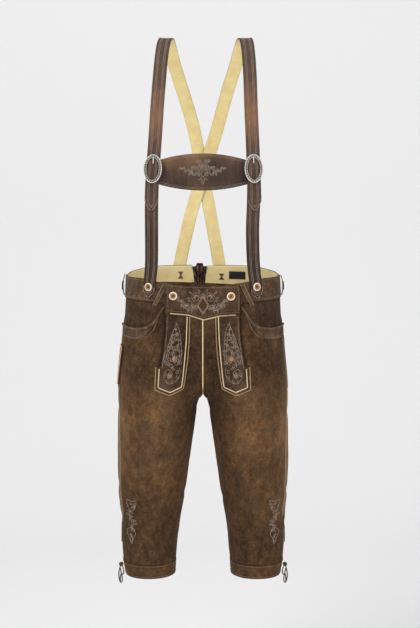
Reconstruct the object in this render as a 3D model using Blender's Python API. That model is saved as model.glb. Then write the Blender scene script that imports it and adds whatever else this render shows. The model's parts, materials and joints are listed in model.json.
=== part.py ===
"""Knee-length suede lederhosen with braces, filled out as if worn, as closed solids.

Frame: metres, +Z up, the front faces -Y, the wearer's left is +X. The origin is the centre of
the waist opening, level with the waistband's top edge at the sides. Tables are in millimetres.
"""

import math

import bmesh
import bpy
import numpy as np
from mathutils import Vector

MM = 0.001
SEAM = 0.3 * MM  # gap between neighbouring pieces

# ---- leather thicknesses -------------------------------------------------------------------
SUEDE = 2.0 * MM
BAND_LEATHER = 3.0 * MM
TRIM_LEATHER = 1.4 * MM
STRAP_LEATHER = 3.0 * MM
PIPING_WIDTH = 3.0 * MM

# ---- heights (driving dimensions) ----------------------------------------------------------
BAND_BOTTOM = -48.0 * MM
FORK = -275.0 * MM  # below this height each leg is a closed ring
POCKET_FADE = -165.0 * MM  # the lift of the pocket mouth has died out here
HEM_BAND_TOP = -658.0 * MM
HEM = -690.0 * MM
TUCK = 14.0 * MM  # how far a yoke runs on behind the pocket mouth

# ---- grid counts ---------------------------------------------------------------------------
PANEL_COLUMNS = 14
BAND_FRONT_FIRST = 5  # panel column where the waistband starts, behind the bib's edge

# Half cross-sections of the trousers: from the centre front (or inseam) by the front-most
# point, the side and the back-most point to the centre back (or inseam).
BODY_COLUMNS = ("z", "side", "inner", "front_x", "front", "back_x", "back", "fork_f", "fork_b")
BODY = (
    (20, 171, 0, 15, -119, 20, 123, -119.3, 123),
    (0, 172, 0, 15, -121, 20, 125, -121.3, 125),
    (-48, 174.3, 0, 22, -124.5, 28, 129.5, -124.3, 129),
    (-86, 176.3, 0, 30, -127, 38, 134, -126.8, 133),
    (-113, 177.8, 0, 38, -128.8, 48, 137.5, -128.3, 136.2),
    (-140, 180.3, 0, 46, -130.3, 56, 140.5, -129.4, 138.6),
    (-165, 183.2, 0, 55, -131.3, 64, 142.5, -129.4, 139.6),
    (-190, 185.7, 0, 64, -131.6, 72, 143, -127.2, 138.2),
    (-210, 187.7, 0, 71, -131.2, 78, 142, -121.5, 133.0),
    (-228, 189.2, 0, 77, -130.3, 82, 139.8, -111.0, 122.0),
    (-243, 190.4, 0, 81, -129.3, 85, 137.2, -95.0, 106.0),
    (-255, 191, 0, 84, -128.2, 87, 134.6, -76.0, 86.0),
    (-263, 191.2, 0, 86, -127.4, 89, 132.8, -52.0, 59.0),
    (-271, 191.4, 0, 88, -126.6, 90.5, 130.9, -20.0, 24.0),
    (-275.5, 191.5, 1.2, 89, -126.1, 91.2, 129.8, 0, 0),
    (-278, 191.5, 4.8, 89.6, -125.8, 91.6, 129.1, 0, 0),
    (-284, 191.6, 9.3, 90.8, -125.1, 92.6, 127.6, 0, 0),
    (-293, 191.7, 11.2, 92.5, -124.1, 94, 125.4, 0, 0),
    (-321, 192, 15.9, 97, -120.6, 98, 118.8, 0, 0),
    (-363, 193, 21.5, 102, -115, 103, 110.5, 0, 0),
    (-405, 193.4, 27.5, 106, -109.4, 107, 104, 0, 0),
    (-447, 193.2, 34, 110, -104, 111, 98.4, 0, 0),
    (-489, 192.1, 39, 114, -98.4, 114, 93, 0, 0),
    (-512, 190.8, 43, 116, -95, 116, 90.2, 0, 0),
    (-534, 188.6, 47, 117.5, -91.2, 117.5, 87.8, 0, 0),
    (-554, 186.4, 50.5, 118.5, -88, 118.5, 85.8, 0, 0),
    (-576, 186, 53.8, 120, -85.4, 120, 83.8, 0, 0),
    (-602, 186.6, 56.5, 121, -82.8, 121, 81.2, 0, 0),
    (-630, 186.2, 59.3, 122, -79.6, 122, 78.8, 0, 0),
    (-658, 184, 62, 122, -76, 122, 76, 0, 0),
    (-674, 181, 63, 121.5, -73, 121.5, 74, 0, 0),
    (-690, 178, 64, 121, -71, 121, 73, 0, 0),
)
CORNER = 2.3  # superellipse exponent of the arcs from front to side and from side to back

# Large soft folds of the legs, raised (+) or sunk (-): u is 0 at the centre front or inseam,
# 1 at the side seam and 2 at the centre back; slope is the rise in height for each unit of u.
FOLD_COLUMNS = ("half", "u", "z", "slope", "length_u", "width", "depth")
FOLDS = (
    (-1, 0.25, -300, 60, 0.42, 13, -3.0),
    (-1, 0.30, -335, 85, 0.45, 15, 2.2),
    (-1, 0.70, -545, -20, 0.50, 11, -3.2),
    (-1, 0.45, -578, 30, 0.40, 12, 2.4),
    (-1, 1.55, -250, -50, 0.40, 15, -3.4),
    (-1, 1.60, -480, 30, 0.45, 15, -3.0),
    (-1, 1.40, -560, -25, 0.50, 13, -3.2),
    (1, 0.28, -295, 55, 0.42, 13, -3.0),
    (1, 0.36, -345, 80, 0.45, 15, 2.2),
    (1, 0.66, -532, -25, 0.45, 11, -3.0),
    (1, 0.50, -570, 22, 0.42, 12, 2.4),
    (1, 1.50, -262, -60, 0.42, 15, -3.4),
    (1, 1.62, -470, 22, 0.45, 15, -3.0),
    (1, 1.45, -548, -20, 0.50, 13, -3.2),
)

# Top edge of the front panels, by width from the centre: behind the bib, then the pocket mouth.
MOUTH = ((0, -16), (70, -16), (85, -54), (97, -73), (106, -88), (124, -103), (152, -110),
         (175, -110), (184, -110))

# Outlines on the front, (x, z) seen from the front, for the wearer's left (+X).
BIB = ((-80, -8), (-40, -10), (0, -11.5), (40, -11), (83, -10), (84, -73), (72, -73.5),
       (36, -75.5), (2, -84), (-32, -73), (-72, -70), (-80, -69))
TONGUE_UNDER = ((28, -85), (29.5, -134), (33, -176), (39, -219), (43, -241), (74, -256),
                (107, -243), (104.5, -192), (95.5, -191), (88, -142), (85, -114), (83, -80))
TONGUE_TOP = ((34, -84), (36.5, -134), (40, -176), (44, -215), (47, -236), (73, -248),
              (99, -237), (96.5, -195), (92, -190), (85, -142), (82, -114), (80, -80))
TONGUE_PIPED = 8  # piping follows this many of a tongue's outline points, from its inner top

BIB_LIFT = 0.7 * MM
BIB_SLAB = (-3, -16, -32, -53, -73, -95)  # heights of its rows
TONGUE_SLAB_END = -264.0 * MM

# Brace paths, front waist or free end first: x, y, z and the roll about the path in degrees.
UPPER_STRAPS = {
    "right": ((-112.5, -136.5, 156, 12), (-111.5, -138.3, 200, 11), (-108.3, -138.3, 250, 10),
              (-103, -130, 322, 8), (-99.3, -116, 382, 5), (-95, -92, 440, 3), (-91, -63, 488, 1),
              (-87, -32, 518, 0), (-82, 2, 531, 0), (-76, 33, 519, 0), (-67, 64, 478, 0),
              (-52, 93, 428, 0), (-35, 115, 373, 0), (-20, 128, 317, 0), (-1, 136, 216, 0),
              (12.6, 137.5, 149, 0), (22.5, 136.5, 93, 0), (32.6, 133, 38, 0)),
    "left": ((114.5, -136.5, 156, -12), (113, -138.3, 200, -11), (111, -138.3, 250, -10),
             (108, -130, 322, -8), (105.5, -116, 382, -5), (104, -92, 440, -3),
             (101.5, -63, 488, -1), (98.5, -32, 518, 0), (94.5, 2, 531, 0), (87.5, 33, 519, 0),
             (77, 64, 478, 0), (61.5, 91, 428, 0), (46, 111, 373, 0), (31, 123, 317, 0),
             (-0.5, 131.8, 216, 0), (-21.7, 134, 149, 0), (-36, 134, 93, 0),
             (-48.3, 131.5, 38, 0)),
}
LOWER_STRAPS = {
    "right": ((-113.2, -112, 36, 20), (-112.2, -127, 110, 15), (-112, -133, 165, 12),
              (-110.5, -134.6, 215, 11), (-108.3, -134.4, 250, 10), (-106.2, -132, 280, 9)),
    "left": ((112, -113, 36, -20), (109.3, -127.2, 110, -15), (111, -133, 165, -12),
             (112, -134.6, 215, -11), (111, -134.4, 250, -10), (109.5, -132, 280, -9)),
}
# Where the braces lie on the waistband, end first: half, x, z.
LOWER_SEATS = {"right": ((-1, -119, -40), (-1, -117, -9)), "left": ((1, 120, -43), (1, 117, -11))}
UPPER_SEATS = {"right": ((1, 39.5, -3), (1, 45, -34)), "left": ((-1, -56, -3), (-1, -62, -34))}
UPPER_STATIONS = 50
LOWER_STATIONS = 20
STRAP_WIDTH = 29.5 * MM
STRAP_SEAT = 1.8 * SEAM  # a strap's gap to the smooth face of the waistband
BAND_REACH = 12.0 * MM  # straps keep clear of the band below this height
STRAP_POINT = 13.0 * MM  # length of a strap's pointed end

# Chest bar between the braces.
BAR_MIDDLE_Y = -139.5 * MM
BAR_END_Y = -129.2 * MM
BAR_HALF = 119.0 * MM
BAR_SHOWN_HALF = 93.0 * MM
BAR_TOP = 282.0 * MM
BAR_BOTTOM = 201.0 * MM
BAR_TOP_FALL = 14.0 * MM
BAR_BOTTOM_RISE = 12.0 * MM

BUTTON_RADIUS = 9.8 * MM
BUTTON_HEIGHT = 4.2 * MM
BUTTON_SEAT = 2 * SEAM  # above the surface under its middle
BUTTON_FOOT = 0.37  # radius of its flat underside over half a strap's width
FRONT_BUTTON_Z = -15.0 * MM
BACK_BUTTON_Z = -16.0 * MM

BUCKLE_HALF_WIDTH = 18.0 * MM  # to the middle of the ring's metal
BUCKLE_HALF_HEIGHT = 28.6 * MM
BUCKLE_METAL = 2.4 * MM  # half width of the ring's metal, seen from the front
BUCKLE_THICK = 1.6 * MM  # half its thickness
BUCKLE_Z = 250.0 * MM
PRONG_LENGTH = 14.0 * MM
PRONG_RADIUS = 1.1 * MM

CORD_DIAMETER = 2.8 * MM


# ---- pocket, seam and hem pieces -----------------------------------------------------------
MOUTH_LIFT = 2.8 * MM  # how far the pocket mouth stands off the hip
MOUTH_LIFT_FIRST_U = 0.52  # the lift starts here, is whole at the side and dies out behind it
FACING_WIDTH = 26.0 * MM
FACING_LIFT = SEAM + TRIM_LEATHER
KNIFE_POCKET_ROWS = (-158, -165, -190, -212, -232, -248)
KNIFE_POCKET_EDGE = 5.5 * MM  # its back edge's distance from the side seam
KNIFE_POCKET_TOP_WIDTH = 43.0 * MM  # from the side seam to its slanted front edge
KNIFE_POCKET_BOTTOM_WIDTH = 27.0 * MM
KNIFE_POCKET_LIFT = 4.2 * MM
KNIFE_POCKET_LEAST_U = 0.012  # between two of its columns
WELT_TOP = -139.0 * MM
WELT_BOTTOM = -640.0 * MM
WELT_HALF = 3.6 * MM
WELT_LIFT = 1.6 * MM
HEM_BAND_ROWS = (-658, -669, -680, -690)
HEM_BAND_PROUD = 1.0 * MM
HEM_SLIT_U = 0.008  # half of the slit at the leg's outer side

# ---- centre back ---------------------------------------------------------------------------
NOTCH_X = -8.0 * MM  # the centre back notch stands a little to the wearer's right
NOTCH_TOP = 17.0 * MM  # half its width
NOTCH_BOTTOM = 10.0 * MM
NOTCH_CLEAR_U = 0.045  # how far the band's last column but one moves away from the notch
GUSSET_TOP = 12.0 * MM
GUSSET_BOTTOM = -47.0 * MM
GUSSET_HALF_TOP = 26.0 * MM
GUSSET_HALF_BOTTOM = 19.0 * MM
GUSSET_LEATHER = 1.5 * MM
LABEL = (81 * MM, 20 * MM, 20 * MM, -6 * MM, -24 * MM)  # middle x, half widths, top and bottom
LABEL_CLOTH = 0.8 * MM
LACE_COLUMNS = ("x from the notch's middle", "z", "depth inside the band's inner face")
LACE = ((-17.5, 3, 0.5), (-8, -5, 0.6), (3, -15, 0.6), (10.5, -22, 0.8), (9, -28, 1.6),
        (0, -31, 2.6), (-9, -28, 3.4), (-10.5, -22, 3.6), (-3, -15, 4.2), (3.5, -9, 4.2),
        (10, -3, 2.8), (17, 3, 0.8))

# ---- belt loops ----------------------------------------------------------------------------
LOOP_LEATHER = 1.8 * MM
LOOP_COLUMNS = ("half", "x_top", "z_top", "x_bottom", "z_bottom", "standing", "width")
BELT_LOOPS = {
    "front_loop_right": (-1, 84, -9, 102, -46, 2.4, 9.5),
    "front_loop_left": (1, 87, -9, 105, -46, 2.4, 9.5),
    "side_loop_right": (-1, 180, 2, 180, -46, 3.6, 11),
    "side_loop_left": (1, 180, -1, 180, -46, 3.6, 11),
}

# Ties at the hem's outer side, wearer's left: the knot, then each cord from the knot to its end.
KNOT = ((189, -5, -672), 5.6, 7.5)  # centre, radius and half length
KNOT_LEAN = 0.3  # how far its axis turns from front-to-back towards the side
TIES = {
    "long": ((190.7, -12.7, -674.6), (192, -16.5, -680), (194, -18.5, -692), (192.5, -19, -706),
             (189, -18.5, -712.5), (186.1, -17, -707), (187.3, -15.6, -694), (189.5, -14.6, -685),
             (190.5, -11.9, -681)),
    "short": ((187.4, 2.5, -674.2), (187.5, 7.8, -678.5), (184.8, 9.8, -687), (183.6, 9, -696),
              (186, 7.6, -700), (189, 5, -697), (190.5, 1.6, -700), (191.4, -1.5, -707),
              (191, -3, -714)),
}


# ---- numbers from the tables ---------------------------------------------------------------
def column(table, names, name):
    return np.array([row[names.index(name)] for row in table], float) * MM


BODY_Z = column(BODY, BODY_COLUMNS, "z")[::-1]


def smooth_value(z, values):
    """Value at height z through the table's rows, eased so that it never overshoots a row."""
    z = min(max(z, BODY_Z[0]), BODY_Z[-1])
    i = min(int(np.searchsorted(BODY_Z, z, side="right")) - 1, len(BODY_Z) - 2)
    slopes = []
    for j in (i, i + 1):
        if j == 0 or j == len(BODY_Z) - 1:
            k = min(j, len(BODY_Z) - 2)
            slopes.append((values[k + 1] - values[k]) / (BODY_Z[k + 1] - BODY_Z[k]))
            continue
        below = (values[j] - values[j - 1]) / (BODY_Z[j] - BODY_Z[j - 1])
        above = (values[j + 1] - values[j]) / (BODY_Z[j + 1] - BODY_Z[j])
        same_way = below * above > 0
        slopes.append(2 * below * above / (below + above) if same_way else 0.0)
    step = BODY_Z[i + 1] - BODY_Z[i]
    t = (z - BODY_Z[i]) / step
    start, end = values[i], values[i + 1]
    return (
        (2 * t**3 - 3 * t**2 + 1) * start
        + (t**3 - 2 * t**2 + t) * step * slopes[0]
        + (3 * t**2 - 2 * t**3) * end
        + (t**3 - t**2) * step * slopes[1]
    )


BODY_VALUES = {name: column(BODY, BODY_COLUMNS, name)[::-1] for name in BODY_COLUMNS[1:]}
RINGS = {}


def arc(start, end, exponent, turns_up_first):
    """Quarter superellipse from start to end as 40 points."""
    angles = np.linspace(0, math.pi / 2, 41)
    rise = np.sin(angles) ** (2 / exponent)
    run = 1 - np.cos(angles) ** (2 / exponent)
    along_x, along_y = (run, rise) if turns_up_first else (rise, run)
    return np.column_stack(
        [start[0] + (end[0] - start[0]) * along_x, start[1] + (end[1] - start[1]) * along_y]
    )


def ring(z):
    """The half section at height z: (share of the front's length, points), then the back's."""
    key = round(z, 7)
    if key not in RINGS:
        at = {name: smooth_value(z, values) for name, values in BODY_VALUES.items()}
        inner = at["inner"] + SEAM / 2
        front_most = (at["front_x"], at["front"])
        back_most = (at["back_x"], at["back"])
        side = (at["side"], 0.0)
        halves = []
        for first, second in (
            (
                arc((inner, at["fork_f"]), front_most, 2, True),
                arc(front_most, side, CORNER, False),
            ),
            (
                arc(side, back_most, CORNER, True),
                arc(back_most, (inner, at["fork_b"]), 2, False),
            ),
        ):
            points = np.vstack([first, second[1:]])
            steps = np.hypot(*np.diff(points, axis=0).T)
            along = np.concatenate([[0], np.cumsum(steps)])
            halves.append((along / along[-1], points, along[-1]))
        RINGS[key] = halves
    return RINGS[key]


def ease(t):
    t = min(max(t, 0.0), 1.0)
    return t * t * (3 - 2 * t)


def mouth_height(x):
    """Top edge of a front panel at this distance from the centre."""
    widths, heights = zip(*MOUTH)
    return float(np.interp(abs(x) / MM, widths, heights)) * MM


def pocket_lift(u, z):
    """How far the hip stands out at the pocket mouth and below it."""
    if u <= 1:
        across, down = ease((u - MOUTH_LIFT_FIRST_U) / 0.22), 1.0
    else:
        across, down = 1 - ease((u - 1) / 0.25), ease((-92 * MM - z) / (14 * MM))
    return MOUTH_LIFT * across * down * ease((z - POCKET_FADE) / (45 * MM))


def lift(half, u, z):
    """How far the pocket mouth and the folds move the skin outward."""
    moved = pocket_lift(u, z)
    for row in FOLDS:
        fold = dict(zip(FOLD_COLUMNS, row))
        if fold["half"] != half:
            continue
        across = (z / MM - fold["z"] - fold["slope"] * (u - fold["u"])) / fold["width"]
        along = (u - fold["u"]) / fold["length_u"]
        if abs(across) < 3 and abs(along) < 1:
            moved += fold["depth"] * MM * math.exp(-across * across) * (1 - along * along) ** 2
    return moved


def flat_skin(u, z):
    """Point of the plain half section, u from 0 at the front to 2 at the back."""
    if z < FORK:
        u = u % 2.0
    u = min(max(u, 0.0), 2.0)
    share, points, _ = ring(z)[0 if u <= 1 else 1]
    at = u if u <= 1 else u - 1
    return Vector((np.interp(at, share, points[:, 0]), np.interp(at, share, points[:, 1]), z))


def flat_normal(u, z):
    du, dz = 0.03, 2.5 * MM
    low, high = z - dz, z + dz
    if low < FORK < high:
        low, high = (z, high) if z > FORK else (low, z)
    if z >= FORK:
        before, after = max(u - du, 0.0), min(u + du, 2.0)
    else:
        before, after = u - du, u + du
    across = flat_skin(after, z) - flat_skin(before, z)
    upward = flat_skin(u, high) - flat_skin(u, low)
    return across.cross(upward).normalized()


def skin(half, u, z, out=0.0):
    """Point on the trousers' outer skin, moved out along its normal. half is -1 or 1."""
    normal = flat_normal(u, z)
    point = flat_skin(u, z) + normal * (lift(half, u, z) + out)
    if z >= FORK:
        point.x = max(point.x, SEAM / 2)
    return Vector((point.x * half, point.y, point.z))


def skin_normal(half, u, z):
    normal = flat_normal(u, z)
    return Vector((normal.x * half, normal.y, normal.z))


def seam_u(z, back=False):
    """Half of a seam's gap as a share of the half section's length, at height z."""
    return SEAM / 2 / ring(z)[1 if back else 0][2]


# ---- making objects ------------------------------------------------------------------------
MATERIALS = {
    "suede": ((0.105, 0.058, 0.030), 0.95, 0.0),
    "strap_leather": ((0.15, 0.085, 0.050), 0.7, 0.0),
    "piping": ((0.62, 0.50, 0.33), 0.7, 0.0),
    "horn": ((0.20, 0.12, 0.07), 0.35, 0.0),
    "antique_silver": ((0.45, 0.43, 0.40), 0.35, 1.0),
    "label_cloth": ((0.01, 0.012, 0.02), 0.9, 0.0),
    "thong": ((0.08, 0.045, 0.025), 0.85, 0.0),
}


def material(name):
    found = bpy.data.materials.get(name)
    if found:
        return found
    made = bpy.data.materials.new(name)
    made.use_nodes = True
    colour, roughness, metallic = MATERIALS[name]
    shader = made.node_tree.nodes["Principled BSDF"]
    shader.inputs["Base Color"].default_value = (*colour, 1)
    shader.inputs["Roughness"].default_value = roughness
    shader.inputs["Metallic"].default_value = metallic
    return made


def object_from(name, bm, slot, smooth=True):
    bmesh.ops.recalc_face_normals(bm, faces=bm.faces)
    mesh = bpy.data.meshes.new(name)
    bm.to_mesh(mesh)
    bm.free()
    mesh.materials.append(material(slot))
    if smooth:
        mesh.shade_smooth()
        mesh.set_sharp_from_angle(angle=math.radians(40))
    made = bpy.data.objects.new(name, mesh)
    bpy.context.scene.collection.objects.link(made)
    return made


def wall(name, outer, inner, slot, smooth=True):
    """Closed wall between two grids of points. Every cell has the same diagonal on both faces."""
    bm = bmesh.new()
    sheets = [[[bm.verts.new(p) for p in row] for row in grid] for grid in (outer, inner)]
    rows, columns = len(outer), len(outer[0])
    for sheet in sheets:
        for i in range(rows - 1):
            for j in range(columns - 1):
                a, b, c, d = sheet[i][j], sheet[i][j + 1], sheet[i + 1][j + 1], sheet[i + 1][j]
                bm.faces.new([a, b, c])
                bm.faces.new([a, c, d])
    top, low = sheets
    for i in (0, rows - 1):
        for j in range(columns - 1):
            bm.faces.new([top[i][j], top[i][j + 1], low[i][j + 1], low[i][j]])
    for j in (0, columns - 1):
        for i in range(rows - 1):
            bm.faces.new([top[i][j], top[i + 1][j], low[i + 1][j], low[i][j]])
    return object_from(name, bm, slot, smooth)


def skin_wall(name, half, us, heights, outside, inside, slot):
    """Wall that follows the skin. us and heights give each grid point's u and z by (row, column)."""
    grids = []
    for out in (outside, inside):
        grids.append([[skin(half, u, z, out) for u, z in zip(urow, zrow)]
                      for urow, zrow in zip(us, heights)])
    return wall(name, *grids, slot)


def side_name(half):
    return "left" if half > 0 else "right"


# ---- trousers ------------------------------------------------------------------------------
PANEL_US = [j / PANEL_COLUMNS for j in range(PANEL_COLUMNS + 1)]
LEVELS = [z * MM for z in (-165, -190, -210, -228, -243, -255, -263, -271, -275.5, -278, -284,
                           -298, -320, -348, -376, -404, -432, -460, -486, -512, -536, -560,
                           -587, -620)] + [HEM_BAND_TOP + SEAM]


SEAT_LEVELS = [z * MM for z in (-70, -90, -104, -120, -142)]


def panel_us(z, front):
    """The u of each column at height z, half a gap short of the side seam and the inseam."""
    gap = seam_u(z, back=not front)
    shares = list(PANEL_US)
    if front:
        shares[0] = gap if z < FORK else 0.0
        shares[-1] = 1 - gap
        return shares
    shares[0] = gap
    shares[-1] = 1 - gap if z < FORK else 1.0
    return [1 + share for share in shares]


def panel_tops():
    """Top edge of the front panel at each column."""
    tops = []
    for u in PANEL_US:
        z = BAND_BOTTOM
        for _ in range(40):
            z = 0.5 * (z + mouth_height(flat_skin(u, z).x))
        tops.append(z)
    return tops


def panel_grid(columns=slice(None), lowest=HEM):
    """Rows of u and z over a front panel: the first rows settle from its top edge to level."""
    tops = panel_tops()
    heights = [[top + (LEVELS[0] - top) * share for top in tops] for share in (0, 0.2, 0.42, 0.7)]
    heights += [[z] * len(PANEL_US) for z in LEVELS if z > lowest]
    us = [[panel_us(z, True)[j] for j, z in enumerate(row)] for row in heights]
    return [row[columns] for row in us], [row[columns] for row in heights]


def front_panel(half):
    name = f"front_panel_{side_name(half)}"
    return skin_wall(name, half, *panel_grid(), 0, -SUEDE, "suede")


def back_panel(half):
    us, heights = [], []
    top = BAND_BOTTOM - SEAM
    for z in [top] + SEAT_LEVELS + LEVELS:
        heights.append([z] * len(PANEL_US))
        us.append(panel_us(z, False))
    return skin_wall(f"back_panel_{side_name(half)}", half, us, heights, 0, -SUEDE, "suede")


def yoke(half):
    """Hip piece behind the pocket mouth, from the waistband down to below the mouth."""
    tops, first = panel_tops(), BAND_FRONT_FIRST
    top = BAND_BOTTOM - SEAM
    us, heights = [], []
    for share in (0, 0.3, 0.65, 1):
        urow, zrow = [], []
        for j in range(first, len(PANEL_US)):
            bottom = min(tops[j], -96 * MM) - TUCK
            z = top + (bottom - top) * share
            zrow.append(z)
            urow.append(panel_us(z, True)[j])
        heights.append(zrow)
        us.append(urow)
    outside = -SUEDE - SEAM
    name = f"hip_yoke_{side_name(half)}"
    return skin_wall(name, half, us, heights, outside, outside - SUEDE, "suede")


def pocket_facing(half):
    """Wide stitched strip along the pocket mouth, on the panel's own columns."""
    tops, first = panel_tops(), BAND_FRONT_FIRST
    us, heights = [], []
    for share in (0, 0.5, 1):
        urow, zrow = [], []
        for j in range(first, len(PANEL_US)):
            width = FACING_WIDTH * (0.23 + 0.77 * ease((j - first) / 3))
            z = tops[j] - width * share
            zrow.append(z)
            urow.append(panel_us(z, True)[j])
        heights.append(zrow)
        us.append(urow)
    name = f"pocket_facing_{side_name(half)}"
    return skin_wall(name, half, us, heights, FACING_LIFT, SEAM, "suede")


def band_top(u):
    """Top edge of the waistband: lowest beside the bib, highest at the centre back."""
    return (-7.0 + 9.0 * ease((u - 0.33) / 0.25) - 2.0 * ease((u - 0.6) / 0.4)
            + 7.0 * ease((u - 1.1) / 0.5)) * MM


def band_start(z):
    """The u of the front waistband's end behind the bib, beside the slanted edge of the panel."""
    tops, before = panel_tops(), BAND_FRONT_FIRST - 1
    share = (tops[before] - z) / (tops[before] - tops[before + 1])
    return (before + min(max(share, 0.0), 0.9)) / PANEL_COLUMNS + 5 * seam_u(z)


def waistband(half):
    """Front and back piece of the waistband on one half."""
    bottom = BAND_BOTTOM
    first = BAND_FRONT_FIRST
    for front in (True, False):
        us, heights = [], []
        for share in (0, 0.33, 0.67, 1):
            urow, zrow = [], []
            for j in range(first if front else 0, len(PANEL_US)):
                plain = PANEL_US[j] if front else 1 + PANEL_US[j]
                z = band_top(plain) + (bottom - band_top(plain)) * share
                u = panel_us(z, front)[j]
                if front and j == first:
                    u = band_start(z)
                if not front and j == len(PANEL_US) - 1:
                    reach = NOTCH_TOP + (NOTCH_BOTTOM - NOTCH_TOP) * share
                    edge = reach + half * NOTCH_X
                    u = 2 - edge / ring(z)[1][2]
                if not front and j == len(PANEL_US) - 2:
                    u -= NOTCH_CLEAR_U
                urow.append(u)
                zrow.append(z)
            us.append(urow)
            heights.append(zrow)
        name = f"waistband_{'front' if front else 'back'}_{side_name(half)}"
        skin_wall(name, half, us, heights, 0, -BAND_LEATHER, "suede")


def hem_band(half):
    """Band round the leg's end, open by a narrow slit at the outer side."""
    first, columns = 1 + HEM_SLIT_U, 28
    shares = [first + 2 * (1 - HEM_SLIT_U) * i / columns for i in range(columns + 1)]
    heights = [[z * MM] * len(shares) for z in HEM_BAND_ROWS]
    us = [shares] * len(heights)
    name = f"hem_band_{side_name(half)}"
    return skin_wall(name, half, us, heights, HEM_BAND_PROUD, -SUEDE, "suede")


# ---- pieces cut from an offset of the panels ------------------------------------------------
def leg_slab(name, half, low, high, slot):
    """Slab over one front panel, clear of the centre cleft, from low to high outside the skin."""
    return skin_wall(name, half, *panel_grid(slice(2, -3), TONGUE_SLAB_END), high, low, slot)


def front_slab(name, low, high, slot):
    """Slab across the upper part of both front panels."""
    grids = []
    for out in (high, low):
        grid = []
        for z in (z * MM for z in BIB_SLAB):
            row = [skin(-1, u, z, out) for u in reversed(PANEL_US[1:-5])]
            row += [Vector((0, skin(1, 0, z, out).y, z))]
            grid.append(row + [skin(1, u, z, out) for u in PANEL_US[1:-5]])
        grids.append(grid)
    return wall(name, *grids, slot)


def prism(outline, name):
    """Cutter: the outline, seen from the front, pulled through the front of the trousers."""
    bm = bmesh.new()
    loops = []
    for y in (-0.3, 0.0):
        loops.append([bm.verts.new((x * MM, y, z * MM)) for x, z in outline])
    bm.faces.new(loops[0])
    bm.faces.new(list(reversed(loops[1])))
    count = len(outline)
    for i in range(count):
        k = (i + 1) % count
        bm.faces.new([loops[0][i], loops[1][i], loops[1][k], loops[0][k]])
    made = object_from(name, bm, "suede", smooth=False)
    made.hide_render = True
    made.display_type = "WIRE"
    return made


def cut_piece(slab, outline):
    """Cuts a slab to an outline seen from the front."""
    keep = slab.modifiers.new("outline", "BOOLEAN")
    keep.operation = "INTERSECT"
    keep.object = prism(outline, f"{slab.name}_outline")


def grown(outline, distance):
    """The outline moved out by a distance in millimetres, corners mitred."""
    points = [Vector(p) for p in outline]
    area = sum(a.x * b.y - b.x * a.y for a, b in zip(points, points[1:] + points[:1]))
    turn = 1 if area > 0 else -1
    moved = []
    for i, point in enumerate(points):
        before = (point - points[i - 1]).normalized()
        after = (points[(i + 1) % len(points)] - point).normalized()
        normal = Vector((before.y + after.y, -before.x - after.x)).normalized() * turn
        across = Vector((before.y, -before.x)) * turn
        moved.append(point + normal * distance / max(normal.dot(across), 0.5))
    return [tuple(p) for p in moved]


def mirrored(outline, half):
    return outline if half > 0 else [(-x, z) for x, z in reversed(outline)]


def strip_along(path, width):
    """Outline of a strip of this width in millimetres along an open path."""
    points = [Vector(p) for p in path]
    sides = ([], [])
    for i, point in enumerate(points):
        before = (point - points[max(i - 1, 0)]).normalized()
        after = (points[min(i + 1, len(points) - 1)] - point).normalized()
        before = before if i else after
        after = after if i < len(points) - 1 else before
        normal = Vector((before.y + after.y, -before.x - after.x)).normalized()
        reach = width / 2 / max(normal.dot(Vector((before.y, -before.x))), 0.5)
        sides[0].append(tuple(point + normal * reach))
        sides[1].append(tuple(point - normal * reach))
    return sides[0] + sides[1][::-1]


def bib():
    """Front flap of two layers, and the piping below it."""
    cut_piece(front_slab("front_bib", BIB_LIFT, BIB_LIFT + 2 * TRIM_LEATHER, "suede"), BIB)
    lower = sorted((p for p in BIB if p[1] < -60), key=lambda p: -p[0])[1:-1]
    path = [(x, z - SEAM / MM - PIPING_WIDTH / MM / 2) for x, z in lower]
    slab = front_slab("bib_piping", BIB_LIFT, BIB_LIFT + PIPING_WIDTH, "piping")
    cut_piece(slab, strip_along(path, PIPING_WIDTH / MM))


def centre_piping():
    """Piping down the centre front seam, from the bib into the fork."""
    outer, inner = [], []
    half_width = 1.3 * MM
    for z in [-90 * MM, -108 * MM, -136 * MM] + [z for z in LEVELS if z > -0.25]:
        y = skin(1, u_at(2 * half_width, z), z).y - SEAM
        outer.append([Vector((x * half_width, y - 2.2 * MM, z)) for x in (-1, 1)])
        inner.append([Vector((x * half_width, y, z)) for x in (-1, 1)])
    return wall("centre_piping", outer, inner, "piping")


def tongue(half):
    """Under and upper layer of the embroidered tongue, each with piping round its free end."""
    name = side_name(half)
    piping = PIPING_WIDTH / MM - 0.4
    lift = SEAM
    for layer, outline, high in (
        ("tongue_under", TONGUE_UNDER, 2.0 * MM),
        ("tongue_top", TONGUE_TOP, 2.4 * MM),
    ):
        slab = leg_slab(f"{layer}_{name}", half, lift, lift + TRIM_LEATHER, "suede")
        cut_piece(slab, mirrored(grown(outline, -piping - SEAM / MM), half))
        edge = leg_slab(f"{layer}_piping_{name}", half, lift, lift + high, "piping")
        path = grown(outline, -piping / 2)[:TONGUE_PIPED]
        cut_piece(edge, mirrored(strip_along(path, piping), half))
        lift += TRIM_LEATHER + SEAM


def side_welt(half):
    """Raised welt down the side seam."""
    us, heights = [], []
    for z in [WELT_TOP] + [z for z in LEVELS if z > WELT_BOTTOM]:
        reach = WELT_HALF / ring(z)[0][2]
        us.append([1 - reach, 1, 1 + reach])
        heights.append([z] * 3)
    name = f"side_welt_{side_name(half)}"
    return skin_wall(name, half, us, heights, SEAM + WELT_LIFT, SEAM, "suede")


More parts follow.
